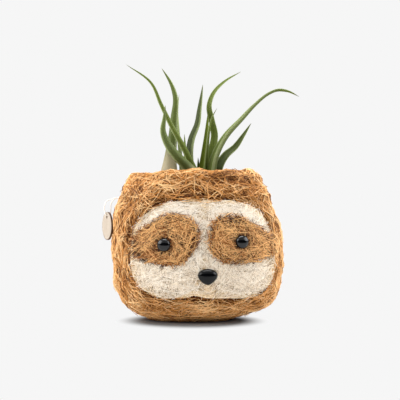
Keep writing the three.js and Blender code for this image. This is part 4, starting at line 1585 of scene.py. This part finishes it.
        def base(x: Array, z: Array, share: Array) -> Array:
            """Back lift, just off the panel."""
            return form.mask_front(x, z) + form.skin_lift + form.patch_gap * 0.2

        def front(x: Array, z: Array, share: Array) -> Array:
            """Front lift, thinning to the edge, with a groove where each eye is drawn in."""
            here = self.pot.face(x, z, 0.0)[0]
            groove = np.zeros_like(x)
            for eye in self.eyes:
                away = eye.away(x, z)
                groove += smooth(away, *self.groove_in) * (1.0 - smooth(away, *self.groove_out))
            thick = form.patch_thickness * (1.0 - self.groove_depth * groove) + uneven(here)
            return base(x, z, share) + thick * (1.0 - 0.95 * smooth(share, 0.2, 1.0))

        outline = form.patch_outline(spot.sign)

        def shrunk(angle: Array, share: Array) -> tuple[Array, Array]:
            """The pad stops short of the outline, which the strands fill."""
            return outline(angle, share * self.patch_share)

        obj = face_pad(self.pot, shrunk, base, front, 96, 20).build(f"{name}_skin")
        dress(obj, Body.PLANTER, "patch_fibre", self.patch_packed, name)
        rng = np.random.default_rng(SEED + 20 + int(spot.sign))

        def edge(x: Array, z: Array) -> Array:
            """Distance to this patch's edge."""
            return form.patch_edge(x, z, spot.sign)

        lay = Strewing(
            outline,
            edge,
            count=2700,
            size=(5.0, 3.2),
            girth=(0.12, 0.32),
            tone=(0.24, 0.5),
            fringe=(0.5, 1.2),
            pile=0.9,
            # Painted shade low in the pile and by the eyes.
            depth=1.5,
            softened=0.55,
            eye_painted_shade=0.6,
        )
        obj = self.scatter(lay, front, rng).build(f"{name}_fibres")
        dress(obj, Body.PLANTER, "patch_fibre", self.patch_loose)

    def seat(self, x: float, z: float, pad: float) -> tuple[Array, Array, float]:
        """Where an eye or the nose sits.

        Args:
            x: sideways place.
            z: height.
            pad: thickness of what lies between it and the panel.

        Returns:
            The middle of its foot, a matrix that turns it upright and the length of its peg.
        """
        form = self.form
        spot = np.array([x]), np.array([z])
        lift = form.mask_front(*spot) + pad + self.seat_gap
        centre, normal = self.pot.face(*spot, lift)
        length = float(lift[0]) + form.mask_inset + form.mask_thickness + self.peg_past
        return centre[0], upright(normal[0]), length

    def peg(self, length: float) -> Array:
        """Profile of a ribbed peg from its tip to its seat."""
        height = np.linspace(-length, -1.0, 14)
        radius = self.peg_radius * np.where(np.arange(14) % 2 == 0, 0.86, 1.0)
        return np.stack([radius, height], -1)

    def build_eye(self, eye: EyeSpot) -> None:
        """An eye and its peg, turned about their axis: a rounded foot, a quarter-ellipse dome."""
        pad = self.form.patch_gap + self.form.patch_thickness
        centre, turn, length = self.seat(eye.x, eye.z, pad)
        angle = np.linspace(0.0, np.pi / 2.0, 26)
        radius = self.eye_diameter / 2.0
        foot = [[self.peg_radius, 0.0], [radius - 0.55, 0.0], [radius - 0.18, 0.12], [radius, 0.45]]
        rise = self.girdle + (self.eye_dome - self.girdle) * np.sin(angle)
        dome = np.stack([radius * np.cos(angle), rise], -1)
        profile = np.concatenate([[[0.0, -length]], self.peg(length), foot, dome])
        profile[-1, 0] = 0.0
        obj = placed(revolve(profile, 64), turn, centre).build(f"eye_{eye.side}_dome")
        dress(obj, Body.PLANTER, "gloss_black", self.eye_gloss, f"eye_{eye.side}")

    def build_nose(self) -> None:
        """The nose: a rounded triangle, wide above and narrow below, swelling to a dome."""
        around = 72
        centre, turn, length = self.seat(self.form.nose_x, self.form.nose_z, 0.0)
        angle = turns(around)
        rise = np.sin(angle)
        taper = 1.0 + 0.26 * rise - 0.08 * rise**2
        half = self.nose_width / 2.2
        plan = np.stack([half * np.cos(angle) * taper, self.nose_height / 2.0 * rise], -1)
        swell = np.linspace(0.0, np.pi / 2.0, 22)[:-1]
        share = np.concatenate([[0.9, 0.97], np.cos(swell) ** 0.9])
        dome = self.girdle + (self.nose_dome - self.girdle) * np.sin(swell)
        height = np.concatenate([[0.0, 0.2], dome])[:, None, None]
        tall = np.broadcast_to(height, (len(share), around, 1))
        cap = np.concatenate([share[:, None, None] * plan, tall], -1)
        peg = self.peg(length)
        stem = circle(angle) * peg[:, 0, None, None]
        stem[..., 2] = peg[:, 1, None]
        grid = Grid(np.concatenate([stem, cap]), -length * UP, self.nose_dome * UP)
        obj = placed(grid, turn, centre).build("nose_dome")
        dress(obj, Body.PLANTER, "gloss_black", Palette.nose_gloss.material(), "nose")

    def build(self) -> None:
        """Builds the panel, patches, eyes and nose, and finishes the hidden washers."""
        self.eye_gloss = Palette.eye_gloss.material()
        self.patch_packed = Palette.patch_packed.material()
        self.patch_loose = Palette.patch_strands.material()
        self.build_mask()
        for eye in self.eyes:
            self.build_patch(eye)
            self.build_eye(eye)
        self.build_nose()
        washer = Palette.washers.material()
        for name in ("eye_washer_left", "eye_washer_right", "nose_washer"):
            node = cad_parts[name]
            node.data.materials.clear()
            node.data.materials.append(washer)


@dataclass
class HangTag:
    """Round wooden tag and the thread that holds it."""

    pot: PotForm
    diameter: float = 21.6
    thickness: float = 1.6
    bevel: float = 0.18
    hole: float = 3.2
    hole_margin: float = 1.8
    turn: float = 18.5
    standoff: float = 4.2
    back: float = 5.8
    thread: float = 0.8
    fall: float = 14.1
    reach: float = 2.4
    gap: float = 0.3
    seam: float = 3.6
    twist: float = 2.6

    def __post_init__(self) -> None:
        """Places the tag beside the pot, below the seam."""
        self.hole_offset = self.diameter / 2.0 - self.hole_margin - self.hole / 2.0
        self.hole_z = self.pot.seat_z - self.fall
        centre_z = np.array(self.hole_z - self.hole_offset)
        x = float(self.pot.lean(centre_z) - self.pot.half_width(centre_z)) - self.standoff
        self.centre = np.array([x, self.back, float(centre_z)])
        angle = np.radians(self.turn)
        self.normal = np.array([-np.cos(angle), -np.sin(angle), 0.0])

    def build_tag(self) -> Piece:
        """The disc: rows from the hole across one face, round the rim and back across the other.

        Returns:
            The tag.
        """
        rows = 24
        ring = circle(turns(96))[:, :2]
        aside = np.array([0.0, self.hole_offset])
        bore = ring * self.hole / 2.0 + aside
        rim = ring * self.diameter / 2.0
        half, edge = self.thickness / 2.0, self.bevel
        outwards = np.linspace(0.0, 1.0, rows)
        face, wall = np.full(rows, half), np.array([half - edge, edge - half])
        share = np.concatenate([outwards, [1.0, 1.0], outwards[::-1], [0.0, 0.0]])
        tall = np.concatenate([face, wall, -face, -wall])
        pull = np.where(np.abs(tall) < half, edge, 0.0)
        far = share[:, None, None]
        inset = np.where(far > 0.5, -1.0, 1.0) * (edge - pull)[:, None, None]
        flat = bore + (rim - bore) * far
        away = np.where(far > 0.5, unit(rim), unit(bore - aside))
        flat = flat + np.where(np.isin(far, (0.0, 1.0)), inset, 0.0) * away
        across = np.array([self.normal[1], -self.normal[0], 0.0])
        points = self.centre + flat[..., [0]] * across + flat[..., [1]] * UP
        points = points + tall[:, None, None] * self.normal
        burn = smooth(share, 0.95, 1.0) + 0.2 * smooth(-share, -0.05, 0.0)
        number = np.broadcast_to(burn[:, None], points.shape[:2])
        obj = Grid(points, ring=True).build("hang_tag_disc", {"edge": number})
        return dress(obj, Body.TAG, "tag_wood", Palette.wood.material(), "hang_tag")

    def route(self) -> Array:
        """Points of the thread: out of the seam, down through the hole and back, in millimetres."""
        pot, reach, fall, thread = self.pot, self.reach, self.fall, self.thread
        seat = np.array(pot.seat_z)
        seam_x = float(pot.lean(seat) - pot.half_width(seat)) - pot.brow_proud
        seam_x = seam_x - self.gap - thread / 4.0
        out = np.array([seam_x, self.back - thread, pot.seat_z])
        back = np.array([seam_x, self.back + thread, pot.seat_z])
        deep = np.array([self.seam, 0.0, 0.0])
        bearing = (self.hole - thread) / 2.0 - 1.5 * self.gap
        hole = np.array([self.centre[0], self.centre[1], self.hole_z + bearing])
        arc = np.radians([75.0, 50.0, 25.0, 0.0, -25.0, -50.0, -75.0])
        beside = np.concatenate(
            [
                np.array([[0.4, 0.78], [0.95, 0.62], [1.15, 0.44], [1.12, 0.28]]) * [reach, fall],
                reach * np.stack([np.sin(arc), 1.0 - np.cos(arc)], -1),
                np.array([[-1.02, 0.28], [-1.02, 0.44], [-1.05, 0.6]]) * [reach, fall],
            ]
        )
        down = [[-reach / 2.0, 0.0, -thread / 8.0], [-reach * 1.2, 0.0, -thread * 0.8]]
        home = [[-reach * 1.1, 0.0, -reach * 0.75], [-reach * 0.5, 0.0, -reach * 0.2]]
        return np.concatenate(
            [
                [out + deep, out],
                out + np.array(down),
                hole + beside[:, :1] * self.normal + beside[:, 1:] * UP,
                back + np.array(home),
                [back, back + deep],
            ]
        )

    def build_thread(self, tag: Piece) -> None:
        """The thread: a two-ply section, whose long axis turns as it goes, along the route."""
        path = catmull(self.route(), 140)
        ahead = unit(np.gradient(path, axis=0))
        side = unit(np.cross(ahead, np.array([0.1, 1.0, 0.05])))
        up = np.cross(side, ahead)
        length = way_along(path)
        angle = turns(12)
        lay = 2.0 * np.pi * length[:, None] / self.twist
        ply = np.abs(np.cos(angle - lay))
        radius = self.thread / 2.0 * (0.78 + 0.22 * ply)
        spoke = up[:, None] * np.cos(angle)[:, None] + side[:, None] * np.sin(angle)[:, None]
        rows = path[:, None] + radius[..., None] * spoke
        obj = Grid(rows, path[0], path[-1]).build("tag_thread_loop", {"ply": ply})
        dress(obj, Body.TAG, "thread_cotton", Palette.thread.material(), "tag_thread")
        tuple(path[0] * MM)
        [tuple(point) for point in path * MM]

    def build(self) -> None:
        """Builds the tag and its thread."""
        self.build_thread(self.build_tag())


@dataclass(frozen=True)
class Leaf:
    """One leaf: its root on the bulb, its size, its way from the root and its tint.

    The root's turn, the roll and the twist are in degrees, and reach, width and way in millimetres.
    Flare is the extra width at the root, and taper the power by which the leaf narrows: the lower,
    the sooner. Fresh says how yellow-green it is, dark how much it lies in shade, and papery how
    far up its sheath reaches.
    """

    turn: float
    reach: float
    width: float
    way: tuple[Triple, ...]
    flare: float = 0.0
    taper: float = 2.2
    roll: float = 0.0
    twist: float = 0.0
    fresh: float = 0.5
    dark: float = 0.2
    papery: float = 0.1


LEAVES = (
    Leaf(
        -81, 10.1, 4.6,
        (
            (-8.2, -3, 17.5), (-19.4, -5, 37.5), (-27.2, -7, 53), (-35.2, -10, 69.2),
            (-54.4, -14.5, 82.4),
        ),
        flare=0.5, twist=30, fresh=0.6, dark=0.1,
    ),
    Leaf(
        -78, 17.4, 8.4,
        (
            (-8.8, -2, 10.2), (-18, -5, 19.2), (-24.8, -7, 28), (-28.2, -8, 37.2),
            (-27.4, -8, 46.2), (-26.6, -8, 56.5),
        ),
        flare=2.3, roll=30, twist=-40, fresh=0.2, dark=0.05, papery=0.34,
    ),
    Leaf(
        174, 19.6, 8.6,
        (
            (0.6, 1, 11.8), (2.2, 3, 25.8), (3.9, 5, 38.8), (5, 7, 51.8),
            (6.3, 9, 65.8), (3.4, 12, 77.5), (-4, 16, 91),
        ),
        flare=3.3, roll=75, twist=-25, fresh=0.5, dark=0.45, papery=0.42,
    ),
    Leaf(
        127, 12.5, 6.2,
        ((-1, 4, 17), (-2.4, 10, 35), (-2.8, 17, 51), (-1, 24, 66.2)),
        flare=0.4, roll=45, twist=10, fresh=0.6, dark=0.2,
    ),
    Leaf(
        117, 3.4, 9.2,
        ((-1, 2, 15.9), (0.6, 4, 25.9), (5.2, 6, 37.9), (7, 8, 48.9), (10.3, 12, 69.4)),
        roll=75, twist=20, fresh=0.3, dark=0.8,
    ),
    Leaf(
        204, 6.0, 4.0,
        ((-0.9, 0.5, 14.4), (-1.4, 2.5, 30.4)),
        twist=20, fresh=0.8, dark=0.3,
    ),
    Leaf(
        -52, 5.7, 3.6,
        ((0, -1, 6), (-0.4, -2.5, 12)),
        twist=10, fresh=0.3, dark=0.6,
    ),
    Leaf(
        43, 13.3, 6.6,
        (
            (6.2, 2, 22.2), (8.2, 4, 32.5), (6.2, 6, 44.5), (4.4, 8, 56),
            (8.3, 11, 66.8), (17.2, 15, 76), (30.8, 19, 84.4),
        ),
        flare=0.3, roll=40, twist=-50, fresh=0.6, dark=0.3,
    ),
    Leaf(
        25, 7.2, 5.6,
        ((2.6, -2, 18.5), (3.7, -4, 29.8), (4.5, -7, 46.8)),
        roll=30, twist=20, fresh=1.0, dark=0.05,
    ),
    Leaf(
        -23, 9.0, 5.6,
        ((1.5, -2.5, 18.4), (3, -5.5, 33.7), (5.2, -7.5, 43.4), (9, -10.5, 50.5)),
        roll=30, twist=-30, fresh=0.9, dark=0.3,
    ),
    Leaf(
        -37, 15.0, 11.6,
        (
            (3.4, -2, 16.6), (11.4, -4, 32.1), (23.7, -7, 45.8), (33, -9.2, 55.8),
            (42.2, -11.3, 63.3), (50, -13, 66.4), (58.2, -14.5, 65.6), (66.7, -16, 61.3),
        ),
        flare=0.4, taper=1.3, roll=54, twist=-20, fresh=0.45, dark=0.3,
    ),
    Leaf(
        9, 18.7, 8.2,
        ((1.8, 1, 11.9), (7.5, 3, 21.1), (15.2, 5, 27.9), (21.3, 6, 36.6), (27.8, 7, 46.8)),
        flare=0.5, roll=60, twist=-20, fresh=0.5, dark=1.0,
    ),
)


@dataclass
class AirPlant:
    """Bulb of overlapping sheaths and its curling leaves.

    Wraps are the sheath edges in one turn and the turns that each climbs. Thickness and curl are
    shares of a leaf's width, and leaves let go of the bulb between two shares of its height.
    """

    pot: PotForm
    radius: float = 26.0
    height: float = 70.0
    foot: float = 9.0
    waist: float = 44.0
    wraps: Pair = (2.0, 5.0)
    sheath: float = 0.9
    thickness: float = 0.34
    curl: float = 0.3
    gap: float = 0.3
    leaf_steps: int = 56
    leaf_around: int = 20
    narrowing: float = 0.85
    flare_fall: float = 9.0
    let_go: Pair = (0.82, 1.02)

    def __post_init__(self) -> None:
        """Stands the plant on the cavity's floor."""
        self.stand = np.array([self.pot.mouth_lean, 0.0, self.pot.cavity_floor + self.gap])

    def build_bulb(self) -> None:
        """The bulb: a foot, a sine swell and an elliptic dome, with sheath edges winding up."""
        low = np.linspace(0.02, 1.0, 50)
        dome = np.linspace(0.0, np.pi / 2.0, 41)[1:-1]
        swell = self.foot + (self.radius - self.foot) * np.sin(low * np.pi / 2.0)
        radius = np.concatenate([swell, self.radius * np.cos(dome)])
        above = self.waist + (self.height - self.waist) * np.sin(dome)
        height = np.concatenate([self.waist * low, above])[:, None, None]
        angle = turns(120)
        climb = np.linspace(0.0, 1.0, len(radius))[:, None]
        wrap = (angle / (2.0 * np.pi) * self.wraps[0] + climb * self.wraps[1]) % 1.0
        rib = self.sheath * (1.0 - wrap) * np.sin(np.pi * climb) ** 0.5
        rib = rib + 0.12 * np.sin(angle * 40.0)
        spread = radius[:, None] - 1.0 + rib
        points = spread[..., None] * circle(angle) + height * UP
        top = (self.height - self.gap) * UP
        grid = Grid(points + self.stand, self.stand, self.stand + top)
        numbers = {
            "along": 0.3 + 0.4 * climb,
            "rim": wrap,
            "fresh": 0.6 * climb,
            # Painted shade, deepest at the foot.
            "dark": 0.4 - 0.4 * climb,
            "sheath": 0.8 - 0.7 * climb,
        }
        numbers = {key: np.broadcast_to(part, spread.shape) for key, part in numbers.items()}
        obj = grid.build("plant_bulb_sheaths", numbers)
        dress(obj, Body.PLANT, "bulb", Palette.bulb.material(), "plant_bulb")

    def clasp(self, points: Array, tall: Array) -> Array:
        """Draws the root of a leaf onto the bulb.

        A point that stands off the elliptic dome moves along its line to the dome's middle until it
        meets the dome, wholly so at the root and not at all above the bulb.

        Args:
            points: sections of the leaf from the plant's foot.
            tall: sine of the turn round the section, below zero on the outer face.

        Returns:
            The points with the root on the bulb.
        """
        off = points - self.waist * UP
        dome = np.array([self.radius, self.radius, self.height - self.waist])
        far = np.linalg.norm(off / dome, axis=-1)
        seat = np.minimum(1.0, (0.996 - 0.014 * tall) / far)
        low, high = (share * self.height for share in self.let_go)
        held = 1.0 - smooth(points[..., 2], low, high)
        return points + off * ((seat - 1.0) * held)[..., None]

    def build_leaf(self, number: int, leaf: Leaf, material: Material) -> None:
        """A leaf: a channelled section, narrowing to a point, carried along its curve.

        The section is an ellipse flattened above, bent into a channel by the square of the way
        across; its width falls off towards the tip and flares at the root.

        Args:
            number: place in the list of leaves.
            leaf: its sizes and way.
            material: its finish.
        """
        turn = np.radians(leaf.turn)
        share = min(leaf.reach / self.radius, 0.95)
        rise = self.waist + (self.height - self.waist) * np.sqrt(1.0 - share**2)
        root = np.array([leaf.reach * np.cos(turn), leaf.reach * np.sin(turn), rise])
        way = np.array(leaf.way, dtype=float) + root
        sink = unit(root - way[0]) * leaf.width
        path = catmull(np.concatenate([[root + sink], [root], way]), self.leaf_steps + 1)
        ahead = unit(np.gradient(path, axis=0))
        t = np.linspace(0.0, 1.0, self.leaf_steps + 1)
        width = leaf.width * np.maximum(1.0 - t**leaf.taper, 0.0) ** self.narrowing
        width = (width * (1.0 + leaf.flare * np.exp(-t * self.flare_fall)))[:, None]
        inward = unit(np.array([-root[0], -root[1], 0.0]))
        across = unit(np.cross(ahead, inward))
        up = np.cross(across, ahead)
        roll = np.radians(leaf.roll + leaf.twist * t)[:, None]
        cos, sin = np.cos(roll), np.sin(roll)
        across, up = across * cos - up * sin, up * cos + across * sin
        beta = turns(self.leaf_around)
        side, tall = np.cos(beta), np.sin(beta)
        body = np.where(tall > 0.0, 0.3, -0.5) * np.abs(tall) ** 0.7
        bend = self.curl * width * (side**2 - 0.5)
        points = path[:, None] + across[:, None] * (side * width / 2.0)[..., None]
        points = points + up[:, None] * (bend + body * self.thickness * width)[..., None]
        points = self.clasp(points[:-1], tall) + self.stand
        shape, along = points.shape[:2], t[:-1, None]
        numbers = {
            "along": along,
            "rim": np.abs(side) ** 3,
            "fresh": leaf.fresh,
            # Painted shade: darker towards the root, lighter on the upper face of the section.
            "dark": leaf.dark * (1.15 - 0.5 * along) - 0.25 * smooth(tall, -0.25, 0.25),
            "sheath": 1.0 - smooth(along, leaf.papery * 0.4, leaf.papery),
        }
        numbers = {key: np.broadcast_to(part, shape) for key, part in numbers.items()}
        grid = Grid(points, path[0] + self.stand, path[-1] + self.stand)
        obj = grid.build(f"leaf_{number:02d}_blade", numbers)
        dress(obj, Body.PLANT, "leaf", material, f"leaf_{number:02d}")

    def build(self) -> None:
        """Builds the bulb and every leaf."""
        self.build_bulb()
        material = Palette.leaf.material()
        for number, leaf in enumerate(LEAVES, start=1):
            self.build_leaf(number, leaf, material)


@dataclass
class Studio:
    """Camera, lamps, pale floor and background, and a dark card for the gloss.

    The camera's azimuth is in degrees, its distance and height in millimetres, and other lengths
    in metres. Soft light is the strength of the surroundings as light. The shadow on the floor
    stays whole up to its near distance from the foot and then fades by a share per metre. The
    card is given by half its width, its distance and its height.
    """

    azimuth: float = -4.8
    distance: float = 1000.0
    height: float = 91.0
    lens: float = 116.9
    shift: float = 0.0055
    pale: str = "f6f6f6"
    seen_floor: str = "6c6c6c"
    lit_floor: str = "f4f4f4"
    soft_light: float = 0.44
    shadow_near: float = 0.036
    shadow_fade: float = 45.0
    floor_reach: float = 9.0
    card: Triple = (1.4, 0.42, 0.27)

    def build_camera(self) -> None:
        """A level camera at the photograph's angle."""
        data = bpy.data.cameras.new("camera")
        data.lens = self.lens
        data.sensor_width = 36.0
        data.shift_x = self.shift
        data.clip_end = 20.0
        camera = linked("camera", data)
        turn, far = np.radians(self.azimuth), self.distance * MM
        camera.location = (far * np.sin(turn), -far * np.cos(turn), self.height * MM)
        camera.rotation_euler = (np.pi / 2.0, 0.0, turn)
        bpy.context.scene.camera = camera

    def build_lamp(self, name: str, spot: Triple, size: Pair, watts: float) -> None:
        """A soft oblong lamp aimed at the pot."""
        data = bpy.data.lights.new(name, "AREA")
        data.shape = "RECTANGLE"
        data.size, data.size_y = size
        data.energy = watts
        lamp = linked(name, data)
        lamp.location = spot
        aim = 0.08 * UP - np.array(spot)
        lamp.rotation_euler = (
            float(np.arctan2(np.hypot(aim[0], aim[1]), -aim[2])),
            0.0,
            float(np.arctan2(aim[1], aim[0]) - np.pi / 2.0),
        )

    def build_world(self) -> None:
        """Even pale surroundings: plain for the camera, gloss and glass, softer as light."""
        recipe = Recipe("surroundings", world=True)
        mirrored = recipe.ray("Is Glossy Ray") | recipe.ray("Is Transmission Ray")
        seen = recipe.ray("Is Camera Ray") | mirrored
        strength = seen * (1.0 - self.soft_light) + self.soft_light
        bpy.context.scene.world = recipe.finish(Color=self.pale, Strength=strength)

    def build_floor(self) -> None:
        """A wide floor that keeps the shadow near the pot and fades to the background."""
        corners = np.array([[-1.0, -1.0, 0.0], [1.0, -1.0, 0.0], [1.0, 1.0, 0.0], [-1.0, 1.0, 0.0]])
        mesh = bpy.data.meshes.new("floor")
        mesh.from_pydata((corners * self.floor_reach).tolist(), [], [(0, 1, 2, 3)])
        floor = linked("floor", mesh)
        recipe = Recipe("floor_paper")
        beside = (-PotForm.foot_lean * MM, 0.016, 0.0)
        sum_of, vector = {"operation": "ADD"}, "ShaderNodeVectorMath"
        where = recipe.node(vector, sum_of, {0: recipe.place((1.0, 0.85, 1.0)), 1: beside})
        far = recipe.node(vector, {"operation": "LENGTH"}, {0: where}, "Value")
        seen = recipe.ray("Is Camera Ray")
        near = ((far - self.shadow_near) * self.shadow_fade).clamp()
        fade = near * near * (3.0 - near * 2.0)
        glow = recipe.node("ShaderNodeEmission", {}, {"Color": self.pale, "Strength": 1.0})
        shade = seen.mix(self.lit_floor, self.seen_floor)
        recipe.finish(Base_Color=shade, Roughness=0.9, Specular_IOR_Level=0.05)
        paper = Value(recipe, recipe.shader.outputs[0])
        both = recipe.node("ShaderNodeMixShader", {}, {0: fade * seen, 1: paper, 2: glow})
        recipe.feed(recipe.tree.nodes["Material Output"].inputs["Surface"], both)
        mesh.materials.append(recipe.owner)

    def build_card(self) -> None:
        """A wide low dark card before the pot, which only gloss mirrors: a flat upright oblong."""
        half, away, top = self.card
        corners = [(-half, -away, MM), (half, -away, MM), (half, -away, top), (-half, -away, top)]
        mesh = bpy.data.meshes.new("dark_card")
        mesh.from_pydata(corners, [], [(0, 1, 2, 3)])
        card = linked("dark_card", mesh)
        card.visible_camera = card.visible_diffuse = card.visible_shadow = False
        black = Recipe("card_black")
        dull = {"Roughness": 1.0, "Specular_IOR_Level": 0.0}
        mesh.materials.append(black.finish(Base_Color="050505", **dull))

    def build(self) -> None:
        """Builds the camera, floor, card, surroundings and lamps."""
        bpy.context.scene.view_settings.view_transform = "Standard"
        self.build_camera()
        self.build_floor()
        self.build_card()
        self.build_world()
        self.build_lamp("left", (-1.1, -0.1, 0.7), (1.3, 0.8), 19.0)
        self.build_lamp("right", (1.1, -0.1, 0.7), (1.3, 0.8), 17.0)
        self.build_lamp("top", (0.0, -0.11, 1.15), (0.9, 0.18), 10.5)


def main() -> None:
    """Builds the planter piece by piece."""
    logging.basicConfig(level=logging.INFO, format="%(name)s %(message)s")
    pot, face = PotForm(), FaceForm()
    Studio().build()
    HangTag(pot).build()
    CoirPot(pot, face).build()
    Face(pot, face).build()
    AirPlant(pot).build()


if __name__ == "__main__":
    main()
